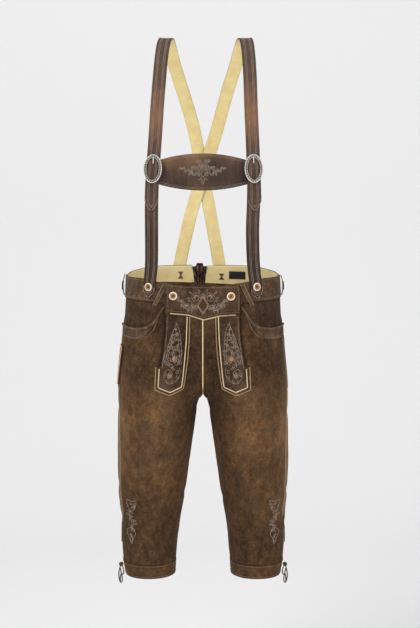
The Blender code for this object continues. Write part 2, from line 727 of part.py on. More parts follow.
def knife_pocket():
    """Long narrow pocket on the front of the wearer's right side seam."""
    us, heights = [], []
    top, bottom = KNIFE_POCKET_ROWS[0], KNIFE_POCKET_ROWS[-1]
    for z in KNIFE_POCKET_ROWS:
        share = (top - z) / (top - bottom)
        width = KNIFE_POCKET_TOP_WIDTH * (1 - share) + KNIFE_POCKET_BOTTOM_WIDTH * share
        length = ring(z * MM)[0][2]
        row = [1 - width / length]
        for column in PANEL_US[-3:-1]:
            row.append(max(column, row[-1] + KNIFE_POCKET_LEAST_U))
        us.append(row + [1 - KNIFE_POCKET_EDGE / length])
        heights.append([z * MM] * len(us[-1]))
    outside = SEAM + KNIFE_POCKET_LIFT
    return skin_wall("knife_pocket", -1, us, heights, outside, SEAM, "suede")


# ---- strips along a path -------------------------------------------------------------------
def curve_points(knots, count):
    """Points evenly spread along a Catmull-Rom curve through the knots (any number of values)."""
    knots = np.array(knots, float)
    ends = np.vstack([2 * knots[0] - knots[1], knots, 2 * knots[-1] - knots[-2]])
    dense = []
    for i in range(1, len(ends) - 2):
        a, b, c, d = ends[i - 1 : i + 3]
        for t in np.linspace(0, 1, 24, endpoint=False):
            dense.append(0.5 * (2 * b + (c - a) * t + (2 * a - 5 * b + 4 * c - d) * t**2
                                + (3 * b - a - 3 * c + d) * t**3))
    dense.append(ends[-2])
    dense = np.array(dense)
    steps = np.linalg.norm(np.diff(dense[:, :3], axis=0), axis=1)
    along = np.concatenate([[0], np.cumsum(steps)])
    wanted = np.linspace(0, along[-1], count)
    return np.column_stack([np.interp(wanted, along, dense[:, k]) for k in range(dense.shape[1])])


def u_at(x, z, back=False):
    """The u where the skin stands this far from the centre plane at height z, front or back."""
    share, points, _ = ring(z)[1 if back else 0]
    widths = points[:, 0]
    if back:
        return 2 - float(np.interp(abs(x), widths[::-1], 1 - share[::-1]))
    return float(np.interp(abs(x), widths, share))


def seated(half, x, z, back):
    """Path row of a strap that lies on the waistband at this width and height."""
    u = u_at(x * MM, z * MM, back)
    point = skin(half, u, z * MM, STRAP_LEATHER / 2 + STRAP_SEAT)
    normal = skin_normal(half, u, z * MM)
    roll = math.degrees(math.atan2(normal.x, abs(normal.y)))
    return (point.x / MM, point.y / MM, z, roll if back else -roll)


def brace_path(kind, side):
    """Whole path of a brace, from its front or lower end."""
    if kind == "lower":
        return tuple(seated(*seat, False) for seat in LOWER_SEATS[side]) + LOWER_STRAPS[side]
    return UPPER_STRAPS[side] + tuple(seated(*seat, True) for seat in UPPER_SEATS[side])


def clear_of_band(point):
    """The shift in y that keeps a point of a strap's inner face just off the waistband."""
    if point.z > BAND_REACH:
        return Vector((0, 0, 0))
    back = point.y > 0
    half = 1 if point.x > 0 else -1
    face = skin(half, u_at(point.x, point.z, back), point.z).y
    if back:
        return Vector((0, max(face + STRAP_SEAT - point.y, 0), 0))
    return Vector((0, min(face - STRAP_SEAT - point.y, 0), 0))


def strap_frames(path, count):
    """Points along a brace with its width and outward directions."""
    points = curve_points(path, count)
    frames = []
    for i, row in enumerate(points):
        here = Vector(row[:3]) * MM
        tangent = Vector(points[min(i + 1, count - 1)][:3] - points[max(i - 1, 0)][:3])
        tangent.normalize()
        outward = Vector((1, 0, 0)).cross(tangent).normalized()
        width = tangent.cross(outward).normalized()
        roll = math.radians(row[3])
        turned_width = width * math.cos(roll) + outward * math.sin(roll)
        turned_outward = outward * math.cos(roll) - width * math.sin(roll)
        here += clear_of_band(here - turned_outward * STRAP_LEATHER / 2)
        frames.append((here, turned_width, turned_outward))
    return frames


def strap_rows(path, count, pointed_end=False):
    """Three points across the outer and the inner face at each station along a strap."""
    frames = strap_frames(path, count)
    along = [0.0]
    for a, b in zip(frames, frames[1:]):
        along.append(along[-1] + (b[0] - a[0]).length)
    outer, inner = [], []
    for (here, width, outward), s in zip(frames, along):
        from_end = min(s, along[-1] - s) if pointed_end else s
        half_width = STRAP_WIDTH / 2 * min(0.15 + from_end / STRAP_POINT, 1)
        row = [here + width * half_width * side - outward * STRAP_LEATHER / 2
               for side in (-1, 0, 1)]
        row = [low + clear_of_band(low) for low in row]
        inner.append(row)
        outer.append([low + outward * STRAP_LEATHER for low in row])
    return outer, inner


def strap_face(path, count, z, back):
    """Point and normal in the middle of a strap's outer face at height z."""
    outer, _ = strap_rows(path, count)
    pairs = [(a, b) for a, b in zip(outer, outer[1:]) if (a[1].y > 0) == back]
    low, high = min(pairs, key=lambda pair: abs((pair[0][1].z + pair[1][1].z) / 2 - z))
    share = min(max((z - low[1].z) / (high[1].z - low[1].z), 0.0), 1.0)
    row = [a.lerp(b, share) for a, b in zip(low, high)]
    normal = (row[2] - row[0]).cross(high[1] - low[1]).normalized()
    normal = normal if (normal.y > 0) == back else -normal
    hollow = ((row[0] + row[2]) / 2 - row[1]).dot(normal)
    return row[1] + normal * max(hollow, 0) * BUTTON_FOOT, normal


def upper_strap(side):
    path = brace_path("upper", side)
    return wall(f"upper_strap_{side}", *strap_rows(path, UPPER_STATIONS, True), "strap_leather")


def lower_strap(side):
    path = brace_path("lower", side)
    return wall(f"lower_strap_{side}", *strap_rows(path, LOWER_STATIONS), "strap_leather")


def chest_bar():
    """Wide bar between the braces, bowed forward over the chest."""
    columns = 20
    outer, inner = [], []
    for i in range(columns + 1):
        x = -BAR_HALF + 2 * BAR_HALF * i / columns
        share = abs(x) / BAR_HALF
        y = BAR_MIDDLE_Y + (BAR_END_Y - BAR_MIDDLE_Y) * share**2
        shown = abs(x) / BAR_SHOWN_HALF
        top = BAR_TOP - BAR_TOP_FALL * shown**2
        bottom = BAR_BOTTOM + BAR_BOTTOM_RISE * shown**2
        outer.append([Vector((x, y, top + (bottom - top) * k / 2)) for k in range(3)])
        inner.append([Vector((x, y + STRAP_LEATHER, top + (bottom - top) * k / 2))
                      for k in range(3)])
    return wall("chest_bar", outer, inner, "strap_leather")


def belt_loop(name, row):
    """Loop strip that lies on the waistband at both ends and stands off between."""
    loop = dict(zip(LOOP_COLUMNS, row))
    half, width, count = loop["half"], loop["width"] * MM, 8
    z_top, z_bottom = loop["z_top"] * MM, loop["z_bottom"] * MM
    u_top, u_bottom = u_at(loop["x_top"] * MM, z_top), u_at(loop["x_bottom"] * MM, z_bottom)
    low = skin(half, u_top, z_top)
    high = skin(half, u_bottom, z_bottom)
    outward = skin_normal(half, (u_top + u_bottom) / 2, BAND_BOTTOM / 2)
    along = (high - low).normalized()
    outward = (outward - along * outward.dot(along)).normalized()
    across = along.cross(outward)
    outer, inner = [], []
    for i in range(count + 1):
        t = i / count
        away = 2 * SEAM + loop["standing"] * MM * math.sin(math.pi * t) ** 0.8
        for rows, out in ((inner, away), (outer, away + LOOP_LEATHER)):
            middle = low.lerp(high, t) + outward * out
            rows.append([middle + across * width * side / 2 for side in (-1, 1)])
    return wall(name, outer, inner, "suede")


# ---- small hard pieces ---------------------------------------------------------------------
def turned(name, profile, centre, axis, slot, segments=14):
    """Solid turned from a (radius, height) profile that starts and ends on the axis."""
    axis = axis.normalized()
    across = axis.orthogonal().normalized()
    other = axis.cross(across)
    bm = bmesh.new()
    rings = []
    for radius, height in profile:
        middle = centre + axis * height
        if radius == 0:
            rings.append([bm.verts.new(middle)])
            continue
        rings.append([
            bm.verts.new(middle + radius * (across * math.cos(a) + other * math.sin(a)))
            for a in (2 * math.pi * k / segments for k in range(segments))
        ])
    for low, high in zip(rings, rings[1:]):
        for k in range(segments):
            n = (k + 1) % segments
            if len(low) == 1:
                bm.faces.new([low[0], high[k], high[n]])
            elif len(high) == 1:
                bm.faces.new([low[k], low[n], high[0]])
            else:
                bm.faces.new([low[k], low[n], high[n], high[k]])
    return object_from(name, bm, slot)


def button(name, centre, axis):
    """Horn button: a disc with a raised rim and a sunk middle."""
    radius = BUTTON_RADIUS
    profile = ((0, 0), (0.55 * radius, 0), (0.92 * radius, 1.2 * MM), (radius, 2.4 * MM),
               (0.94 * radius, 3.8 * MM), (0.78 * radius, BUTTON_HEIGHT),
               (0.62 * radius, 3.2 * MM), (0, 2.9 * MM))
    return turned(name, profile, centre, axis, "horn")


def buckle(side, path):
    """Oval scalloped ring in front of the strap, and its prong."""
    here, width, outward = nearest_frame(path, BUCKLE_Z)
    up = outward.cross(width).normalized()
    up = up if up.z > 0 else -up
    centre = here + outward * (STRAP_LEATHER / 2 + SEAM + BUCKLE_THICK)
    segments, sides = 32, 6
    bm = bmesh.new()
    rings = []
    for i in range(segments):
        angle = 2 * math.pi * i / segments
        scallop = 1 + 0.022 * math.cos(16 * angle)
        across = BUCKLE_HALF_WIDTH * scallop * math.cos(angle)
        along = BUCKLE_HALF_HEIGHT * scallop * math.sin(angle)
        middle = centre + width * across + up * along
        away = (width * math.cos(angle) + up * math.sin(angle)).normalized()
        rings.append([])
        for k in range(sides):
            turn = 2 * math.pi * k / sides
            metal = away * BUCKLE_METAL * math.cos(turn) + outward * BUCKLE_THICK * math.sin(turn)
            rings[-1].append(bm.verts.new(middle + metal))
    for i in range(segments):
        following = rings[(i + 1) % segments]
        for k in range(sides):
            n = (k + 1) % sides
            bm.faces.new([rings[i][k], rings[i][n], following[n], following[k]])
    object_from(f"buckle_{side}", bm, "antique_silver")
    top = centre + up * (BUCKLE_HALF_HEIGHT - BUCKLE_METAL - SEAM)
    tip = top - up * PRONG_LENGTH
    rod(f"buckle_prong_{side}", [top, tip], PRONG_RADIUS, "antique_silver")


def nearest_frame(path, z):
    """Middle, width and outward directions of a brace where it passes height z at the front."""
    frames = [frame for frame in strap_frames(path, 240) if frame[0].y < 0]
    return min(frames, key=lambda frame: abs(frame[0].z - z))


def rod(name, points, radius, slot):
    """Round rod or cord with flat ends through a few points, as a bevelled curve."""
    curve = bpy.data.curves.new(name, "CURVE")
    curve.dimensions = "3D"
    curve.bevel_depth = radius
    curve.bevel_resolution = 2
    curve.use_fill_caps = True
    spline = curve.splines.new("POLY")
    spline.points.add(len(points) - 1)
    for point, place in zip(spline.points, points):
        point.co = (*place, 1)
    curve.materials.append(material(slot))
    made = bpy.data.objects.new(name, curve)
    bpy.context.scene.collection.objects.link(made)
    return made


def cord(name, route):
    """Limp cord along a smooth curve through its route, given in millimetres."""
    knots = np.array(route, float)
    length = np.linalg.norm(np.diff(knots, axis=0), axis=1).sum() * MM
    count = max(4, round(length / (2.2 * CORD_DIAMETER)))
    points = [Vector(p) * MM for p in curve_points(knots, count)]
    return rod(name, points, CORD_DIAMETER / 2, "thong")


# ---- what sits on the pieces ---------------------------------------------------------------
def button_on(name, point, outward):
    return button(name, point + outward * BUTTON_SEAT, outward)


def buttons():
    """Buttons of the bib and of the braces."""
    for side, half, x, z in (("right", -1, 64, -33), ("left", 1, 62, -34)):
        u = u_at(x * MM, z * MM)
        out = 2 * TRIM_LEATHER + SEAM
        button_on(f"bib_button_{side}", skin(half, u, z * MM, out), skin_normal(half, u, z * MM))
    for side in ("right", "left"):
        front = strap_face(brace_path("lower", side), LOWER_STATIONS, FRONT_BUTTON_Z, False)
        button_on(f"brace_button_front_{side}", *front)
        back = strap_face(brace_path("upper", side), UPPER_STATIONS, BACK_BUTTON_Z, True)
        button_on(f"brace_button_back_{side}", *back)


def back_wall(name, middle_x, half_top, half_bottom, top, bottom, outside, inside, slot):
    """Small wall on the back band, straddling the centre back, trapezoid from top to bottom."""
    grids = []
    for out in (outside, inside):
        grid = []
        for share in (0, 0.33, 0.67, 1):
            z = top + (bottom - top) * share
            reach = half_top + (half_bottom - half_top) * share
            row = []
            for k in range(-2, 3):
                x = middle_x + reach * k / 2
                u = 2 - abs(x) / ring(z)[1][2]
                row.append(skin(1 if x >= 0 else -1, u, z, out))
            grid.append(row)
        grids.append(grid)
    return wall(name, *grids, slot)


def back_lace():
    """Lace that crosses the notch inside the back waistband."""
    route = []
    for x, z, depth in LACE:
        x += NOTCH_X / MM
        u = 2 - abs(x) * MM / ring(z * MM)[1][2]
        inside = skin(1 if x > 0 else -1, u, z * MM, -BAND_LEATHER - CORD_DIAMETER / 2)
        route.append((x, inside.y / MM - depth, z))
    return cord("back_lace", route)


def hem_tie(half):
    """Knot at the hem's slit and the two cords that hang from it."""
    side = side_name(half)
    (x, y, z), radius, tall = KNOT
    profile = [(0, -tall)] + [
        (radius * math.cos(a), tall * math.sin(a))
        for a in (math.radians(d) for d in (-55, -20, 20, 55))
    ] + [(0, tall)]
    profile = [(r * MM, h * MM) for r, h in profile]
    axis = Vector((-KNOT_LEAN * half, 1, 0))
    turned(f"tie_knot_{side}", profile, Vector((x * half, y, z)) * MM, axis, "thong", segments=12)
    for which, route in TIES.items():
        cord(f"tie_{which}_{side}", [(px * half, py, pz) for px, py, pz in route])


def back_pieces():
    """Triangle over the centre back notch, and the blank label inside the band."""
    gusset = (NOTCH_X, GUSSET_HALF_TOP, GUSSET_HALF_BOTTOM, GUSSET_TOP, GUSSET_BOTTOM)
    back_wall("back_gusset", *gusset, SEAM + GUSSET_LEATHER, SEAM, "suede")
    inside = -BAND_LEATHER - SEAM
    back_wall("label", *LABEL, inside, inside - LABEL_CLOTH, "label_cloth")


def main():
    for old in list(bpy.data.objects):
        bpy.data.objects.remove(old, do_unlink=True)
    for half in (-1, 1):
        front_panel(half)
        back_panel(half)
        yoke(half)
        pocket_facing(half)
        waistband(half)
        hem_band(half)
        side_welt(half)
        tongue(half)
        hem_tie(half)
    knife_pocket()
    bib()
    centre_piping()
    for side in ("right", "left"):
        upper_strap(side)
        lower_strap(side)
        buckle(side, brace_path("upper", side))
    chest_bar()
    buttons()
    back_pieces()
    back_lace()
    for name, row in BELT_LOOPS.items():
        belt_loop(name, row)


main()
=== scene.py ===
"""Dressed visual model of knee-length suede lederhosen with braces.

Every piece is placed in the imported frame: metres, +Z up, the front faces -Y and the wearer's
left is +X. Tables and plain numbers are in millimetres unless a docstring says metres, and so
are heights, while a Vector is in metres.
"""

import json
import logging
import math
from collections.abc import Callable, Sequence
from dataclasses import dataclass, field
from enum import Enum

import bmesh
import bpy
from mathutils import Matrix, Vector, noise
from mathutils.bvhtree import BVHTree

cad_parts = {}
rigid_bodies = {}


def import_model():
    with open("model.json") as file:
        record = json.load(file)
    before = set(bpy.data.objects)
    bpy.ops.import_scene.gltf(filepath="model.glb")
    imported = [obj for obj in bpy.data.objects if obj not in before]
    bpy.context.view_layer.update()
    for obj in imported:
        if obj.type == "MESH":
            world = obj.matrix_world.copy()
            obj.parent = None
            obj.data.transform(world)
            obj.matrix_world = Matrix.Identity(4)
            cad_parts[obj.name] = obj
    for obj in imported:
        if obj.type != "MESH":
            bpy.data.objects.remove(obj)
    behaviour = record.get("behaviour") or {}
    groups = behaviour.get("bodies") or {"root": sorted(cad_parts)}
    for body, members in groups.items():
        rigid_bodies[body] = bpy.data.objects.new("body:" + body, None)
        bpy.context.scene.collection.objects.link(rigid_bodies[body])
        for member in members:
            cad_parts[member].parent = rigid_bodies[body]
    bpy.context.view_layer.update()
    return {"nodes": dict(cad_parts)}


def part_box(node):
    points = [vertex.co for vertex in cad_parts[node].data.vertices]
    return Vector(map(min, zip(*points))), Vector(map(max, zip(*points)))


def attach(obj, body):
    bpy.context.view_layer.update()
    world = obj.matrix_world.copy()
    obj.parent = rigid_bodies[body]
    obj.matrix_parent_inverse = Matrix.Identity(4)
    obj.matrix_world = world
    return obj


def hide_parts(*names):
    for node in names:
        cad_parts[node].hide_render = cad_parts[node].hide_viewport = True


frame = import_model()

LOG = logging.getLogger("lederhosen")
MM = 0.001
BODY = "root"
TONE = "tone"
SIDES = {"right": -1, "left": 1}
REARWARD = Vector((0, 1, 0))
Colour = tuple[float, ...]
Shades = tuple[tuple[int, int, int], ...]
Row = tuple[float, ...]
Rows = Sequence[Row]
Line = list[Vector]
Pair = tuple[float, float]
Flat = Sequence[Pair]
Place = tuple[float, float, float]
Socket = bpy.types.NodeSocket
Material = bpy.types.Material
Piece = bpy.types.Object


def srgb(*shade: int) -> Colour:
    """Linear colour, with an alpha of 1, of a display colour's red, green and blue to 255."""
    parts = [value / 255 for value in shade]
    return (*(part / 12.92 if part <= 0.04045 else ((part + 0.055) / 1.055) ** 2.4
              for part in parts), 1.0)


def turned(angle: float) -> Pair:
    """Cosine and sine of an angle in degrees."""
    return math.cos(math.radians(angle)), math.sin(math.radians(angle))


def ease(share: float) -> float:
    """Smooth step from 0 to 1, for a share that may lie outside them."""
    share = min(max(share, 0.0), 1.0)
    return share * share * (3 - 2 * share)


# ---- finishes ----
class Slot(Enum):
    """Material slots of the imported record."""

    SUEDE = "suede"
    STRAP = "strap_leather"
    PIPING = "piping"
    HORN = "horn"
    SILVER = "antique_silver"
    LABEL = "label_cloth"
    THONG = "thong"


def fill(node: bpy.types.Node, **settings: float | Sequence[float]) -> bpy.types.Node:
    """Sets inputs of a node, which it returns; an underscore in a name stands for a space."""
    for name, value in settings.items():
        node.inputs[name.replace("_", " ")].default_value = value
    return node


class Shader:
    """Node tree of one material, with short calls for the patterns that leather needs."""

    ROUGH_NOISE = 0.6

    def __init__(self, name: str, roughness: float, metallic: float = 0.0) -> None:
        """Starts a material.

        Args:
            name: Name of the material.
            roughness: Roughness that is the same all over.
            metallic: Metallic value that is the same all over.
        """
        self.material = bpy.data.materials.new(name)
        self.material.use_nodes = True
        self.tree = self.material.node_tree
        self.surface = fill(self.tree.nodes["Principled BSDF"], Roughness=roughness,
                            Metallic=metallic)
        self.place = self.add("ShaderNodeTexCoord").outputs["Object"]

    def add(self, kind: str, **settings: float | Sequence[float]) -> bpy.types.Node:
        """Adds a node with these inputs set."""
        return fill(self.tree.nodes.new(kind), **settings)

    def noise(self, size: float, detail: float, stretch: Place = (1, 1, 1)) -> Socket:
        """Soft noise.

        Args:
            size: Width of its spots in metres.
            detail: Number of finer layers.
            stretch: Factor on the coordinates along each axis.

        Returns:
            Value around 0.5.
        """
        mapping = self.add("ShaderNodeMapping", Scale=stretch)
        self.tree.links.new(self.place, mapping.inputs["Vector"])
        node = self.add("ShaderNodeTexNoise", Scale=1 / size, Detail=detail,
                        Roughness=self.ROUGH_NOISE)
        self.tree.links.new(mapping.outputs["Vector"], node.inputs["Vector"])
        return node.outputs[0]

    def cells(self, size: float) -> Socket:
        """Distance to the middle of the nearest grain cell, whose width is this size in metres."""
        node = self.add("ShaderNodeTexVoronoi", Scale=1 / size)
        self.tree.links.new(self.place, node.inputs["Vector"])
        return node.outputs["Distance"]

    def painted(self) -> Socket:
        """Tone painted on the piece's points."""
        node = self.add("ShaderNodeAttribute")
        node.attribute_name = TONE
        return node.outputs["Fac"]

    def blend(self, terms: Sequence[tuple[Socket, float]], start: float = 0.0) -> Socket:
        """Weighted sum of values.

        Args:
            terms: Each value and its weight.
            start: Number that the sum starts from.

        Returns:
            The sum.
        """
        total = None
        for socket, weight in terms:
            node = self.add("ShaderNodeMath")
            node.operation = "MULTIPLY_ADD"
            node.inputs[1].default_value = weight
            node.inputs[2].default_value = start
            self.tree.links.new(socket, node.inputs[0])
            if total is not None:
                self.tree.links.new(total, node.inputs[2])
            total = node.outputs[0]
        return total

    def ramp(self, value: Socket, shades: Shades, *positions: float) -> Socket:
        """Colour read from a ramp.

        Args:
            value: Value that picks the colour.
            shades: Display colour of each stop.
            positions: Position of each stop.

        Returns:
            The colour.
        """
        node = self.add("ShaderNodeValToRGB")
        band = node.color_ramp
        while len(band.elements) < len(shades):
            band.elements.new(0.5)
        for element, position, shade in zip(band.elements, positions, shades):
            element.position = position
            element.color = srgb(*shade)
        self.tree.links.new(value, node.inputs["Fac"])
        return node.outputs["Color"]

    def mix(self, share: Socket, first: Socket, second: Socket) -> Socket:
        """Mixes two colours.

        Args:
            share: How much of the second colour is seen; it may lie outside 0 and 1.
            first: First colour.
            second: Second colour.

        Returns:
            The colour between them.
        """
        node = self.add("ShaderNodeMix")
        node.data_type = "RGBA"
        node.clamp_factor = True
        self.tree.links.new(share, node.inputs["Factor"])
        self.tree.links.new(first, node.inputs[6])
        self.tree.links.new(second, node.inputs[7])
        return node.outputs[2]

    def use(self, socket: Socket, name: str = "Base Color") -> None:
        """Uses a colour or value for this input of the surface."""
        self.tree.links.new(socket, self.surface.inputs[name])

    def relief(self, height: Socket, depth: float, strength: float) -> None:
        """Bumps the surface.

        Args:
            height: Height from 0 to 1.
            depth: Real depth in metres.
            strength: Share of the bump that is used.
        """
        node = self.add("ShaderNodeBump", Strength=strength, Distance=depth)
        self.tree.links.new(height, node.inputs["Height"])
        self.use(node.outputs["Normal"], "Normal")


@dataclass(frozen=True)
class Finish:
    """Finish of a surface.

    Attributes:
        name: Name of its material.
        shades: Its display colours, from the darkest on.
    """

    name: str
    shades: Shades


@dataclass(frozen=True)
class Suede(Finish):
    """Brushed hide whose tone follows the value painted on each piece.

    Its colours are those of its deep, dark, middle and worn places, and of its greyer blotches;
    the painted tone also picks the dark ones for painted shade and the pale ones for painted
    light.
    """

    def material(self) -> Material:
        """Mixes the material.

        Returns:
            Material with blotches, nap and short fibres.
        """
        shader = Shader(self.name, 0.92)
        blotch = shader.noise(0.05, 4.0, (1.0, 1.0, 0.75))
        patch = shader.noise(0.016, 4.0, (1.1, 1.1, 0.8))
        fleck = shader.noise(0.0055, 3.0)
        nap = shader.noise(0.0016, 2.0)
        tone = shader.blend([(shader.painted(), 1.0), (blotch, 0.5), (patch, 0.7),
                             (fleck, 0.6), (nap, 0.5)], -1.15)
        warm = shader.ramp(tone, self.shades[:4], 0.10, 0.36, 0.62, 0.95)
        grey = shader.ramp(tone, self.shades[:2] + self.shades[4:], 0.10, 0.36, 0.68)
        hue = shader.blend([(shader.noise(0.031, 3.0, (1.0, 1.0, 0.7)), 2.6)], -0.55)
        shader.use(shader.mix(hue, grey, warm))
        fibres = shader.blend([(nap, 0.7), (fleck, 0.9), (patch, 0.6)])
        shader.relief(fibres, 0.0013, 0.8)
        fill(shader.surface, Sheen_Weight=0.05, Sheen_Roughness=0.5,
             Sheen_Tint=srgb(190, 165, 140), Specular_IOR_Level=0.08)
        return shader.material


@dataclass(frozen=True)
class StrapLeather(Finish):
    """Oiled brace leather, streaked along its length and paler where it bends."""

    def material(self) -> Material:
        """Mixes the material.

        Returns:
            Material with streaks, grain and satin gloss.
        """
        shader = Shader(self.name, 0.55)
        fill(shader.surface, Specular_IOR_Level=0.25)
        streak = shader.noise(0.006, 4.0, (1.0, 1.0, 0.12))
        patch = shader.noise(0.022, 3.0, (1.0, 1.0, 0.5))
        grain = shader.cells(0.0016)
        tone = shader.blend([(shader.painted(), 1.0), (streak, 0.5), (patch, 0.5),
                             (grain, 0.2)], -0.55)
        shader.use(shader.ramp(tone, self.shades, 0.15, 0.5, 0.9))
        shader.use(shader.blend([(patch, 0.35), (grain, 0.15)], 0.4), "Roughness")
        shader.relief(shader.blend([(grain, 0.5), (streak, 0.7)]), 0.0005, 0.6)
        return shader.material


@dataclass(frozen=True)
class PlainHide(Finish):
    """Undyed or lightly dyed hide: the yellow inside, the piping and the thongs.

    Attributes:
        blotch: Width of a blotch in metres.
        roughness: Roughness all over.
    """

    blotch: float
    roughness: float = 0.8

    def material(self) -> Material:
        """Mixes the material.

        Returns:
            Material with soft blotches and a fine grain.
        """
        shader = Shader(self.name, self.roughness)
        blotch = shader.noise(self.blotch, 5.0)
        grain = shader.noise(0.0012, 2.0)
        tone = shader.blend([(blotch, 0.9), (grain, 0.35)], -0.125)
        shader.use(shader.ramp(tone, self.shades, 0.25, 0.75))
        shader.relief(shader.blend([(grain, 0.5), (blotch, 0.5)]), 0.0004, 0.6)
        fill(shader.surface, Sheen_Weight=0.1)
        return shader.material


@dataclass(frozen=True)
class SewingThread(Finish):
    """Twisted thread of the seams and the embroidery."""

    def material(self) -> Material:
        """Mixes the material.

        Returns:
            Material with a fine twist and a slight gloss.
        """
        shader = Shader(self.name, 0.6)
        twist = shader.noise(0.0012, 2.0)
        spots = shader.noise(0.009, 3.0)
        tone = shader.blend([(twist, 0.6), (spots, 0.9)], -0.25)
        shader.use(shader.ramp(tone, self.shades, 0.25, 0.75))
        shader.relief(twist, 0.0003, 0.7)
        return shader.material


@dataclass(frozen=True)
class Horn(Finish):
    """Polished horn, from a brown middle to a pale rim along the value painted on a button."""

    def material(self) -> Material:
        """Mixes the material.

        Returns:
            Material with streaks and a soft gloss.
        """
        shader = Shader(self.name, 0.35)
        streak = shader.noise(0.003, 4.0, (1.0, 1.0, 0.4))
        tone = shader.blend([(shader.painted(), 1.0), (streak, 0.5)], -0.25)
        shader.use(shader.ramp(tone, self.shades, 0.2, 0.5, 0.75))
        shader.relief(streak, 0.0002, 0.4)
        fill(shader.surface, Coat_Weight=0.25)
        return shader.material


@dataclass(frozen=True)
class AntiqueSilver(Finish):
    """Cast silver that has darkened in its hollows."""

    def material(self) -> Material:
        """Mixes the material.

        Returns:
            Material with tarnish along the painted hollows and small dents.
        """
        shader = Shader(self.name, 0.3, 1.0)
        spots = shader.noise(0.0016, 3.0)
        tone = shader.blend([(shader.painted(), 1.0), (spots, 0.7)], -0.35)
        shader.use(shader.ramp(tone, self.shades, 0.2, 0.6))
        shader.use(shader.blend([(spots, 0.35)], 0.16), "Roughness")
        shader.relief(spots, 0.0003, 0.5)
        return shader.material


@dataclass(frozen=True)
class WovenLabel(Finish):
    """Dark blank label weave."""

    def material(self) -> Material:
        """Mixes the material.

        Returns:
            Material with a fine horizontal weave.
        """
        shader = Shader(self.name, 0.7)
        weave = shader.noise(0.0009, 1.0, (0.3, 0.3, 1.0))
        shader.use(shader.ramp(weave, self.shades, 0.3, 0.8))
        shader.relief(weave, 0.0003, 0.6)
        return shader.material


FINISHES = {
    "leg": Suede("suede_leg", ((38, 28, 20), (62, 45, 31), (94, 67, 43), (134, 98, 64),
                               (82, 67, 51))),
    "trim": Suede("suede_trim", ((40, 29, 22), (66, 49, 37), (94, 72, 54), (136, 112, 90),
                                 (88, 75, 64))),
    "gore": Suede("suede_gore", ((48, 30, 24), (80, 54, 44), (112, 82, 70), (150, 118, 102),
                                 (100, 78, 66))),
    "loop": Suede("suede_loop", ((52, 40, 29), (78, 61, 43), (106, 86, 61), (140, 117, 87),
                                 (96, 82, 64))),
    "strap": StrapLeather("brace_leather", ((40, 29, 24), (78, 59, 47), (128, 92, 62))),
    "inside": PlainHide("yellow_inside", ((214, 190, 128), (238, 221, 162)), 0.03),
    # Paler copy of the yellow inside for the waistbands: painted light where the band's inside
    # gets little light.
    "lit_band_inside": PlainHide("lit_band_inside", ((232, 208, 142), (250, 238, 190)), 0.03),
    "lining": PlainHide("pale_inside", ((163, 138, 92), (197, 172, 122)), 0.03),
    "piping": PlainHide("cream_piping", ((196, 168, 122), (230, 208, 168)), 0.012, 0.6),
    "tan_piping": PlainHide("tan_piping", ((136, 107, 72), (176, 146, 105)), 0.012, 0.6),
    "thong": PlainHide("tan_thong", ((52, 36, 25), (102, 75, 53)), 0.006, 0.6),
    "lace": PlainHide("dark_lace", ((20, 13, 9), (46, 31, 22)), 0.008, 0.85),
    "seam": SewingThread("seam_thread", ((112, 92, 74), (156, 132, 108))),
    "embroidery": SewingThread("embroidery_thread", ((108, 91, 78), (176, 158, 139))),
    "rust": SewingThread("rust_thread", ((158, 114, 88), (214, 172, 142))),
    "strap_thread": SewingThread("strap_thread", ((126, 106, 90), (172, 150, 128))),
    "pale_thread": SewingThread("pale_thread", ((150, 126, 92), (196, 172, 132))),
    "brown_thread": SewingThread("brown_thread", ((52, 34, 22), (96, 66, 42))),
    "horn": Horn("horn", ((96, 64, 36), (178, 134, 88), (236, 216, 190))),
    "silver": AntiqueSilver("antique_silver", ((66, 58, 54), (236, 232, 226))),
    "label": WovenLabel("label_weave", ((16, 17, 22), (36, 40, 50))),
}
DYED: dict[str, Material] = {}


def dyed(finish: str) -> Material:
    """Material of a finish, which is made when it is first asked for."""
    if finish not in DYED:
        DYED[finish] = FINISHES[finish].material()
    return DYED[finish]


# ---- lines ----
def smooth(knots: Rows, step: float) -> list[Row]:
    """Evenly spread points along a smooth curve through its knots.

    Args:
        knots: Points of any number of values.
        step: Distance between the points that are returned.

    Returns:
        Points of as many values as the knots have.
    """
    parts = 16
    first = [2 * a - b for a, b in zip(knots[0], knots[1])]
    last = [2 * a - b for a, b in zip(knots[-1], knots[-2])]
    ends = [first, *knots, last]
    dense = []
    for i in range(1, len(ends) - 2):
        for t in (k / parts for k in range(parts)):
            dense.append([
                0.5 * (2 * b + (c - a) * t + (2 * a - 5 * b + 4 * c - d) * t * t
                       + (3 * b - a - 3 * c + d) * t ** 3)
                for a, b, c, d in zip(*ends[i - 1 : i + 3])
            ])
    dense.append(list(knots[-1]))
    return spread(dense, step)


def spread(points: Rows, step: float) -> list[Row]:
    """Points at an even distance along straight pieces.

    Args:
        points: Corners of the line; only the first three values count as its length.
        step: Wanted distance between two points, in the corners' own unit.

    Returns:
        Evenly spaced points, with both ends.
    """
    along = [0.0]
    for a, b in zip(points, points[1:]):
        along.append(along[-1] + math.dist(a[:3], b[:3]))
    count = max(2, round(along[-1] / step) + 1)
    found, i = [], 0
    for k in range(count):
        wanted = along[-1] * k / (count - 1)
        while i < len(along) - 2 and along[i + 1] < wanted:
            i += 1
        share = (wanted - along[i]) / max(along[i + 1] - along[i], 1e-9)
        found.append(tuple(a + (b - a) * share for a, b in zip(points[i], points[i + 1])))
    return found


def at_share(points: Rows, share: float) -> Row:
    """Point at a share of a line's length.

    Args:
        points: Its corners, or 12 and more even points.
        share: Share of its length.

    Returns:
        The point.
    """
    line = spread(points, 1.0) if len(points) < 12 else list(points)
    place = min(max(share, 0.0), 1.0) * (len(line) - 1)
    i = min(int(place), len(line) - 2)
    return tuple(a + (b - a) * (place - i) for a, b in zip(line[i], line[i + 1]))


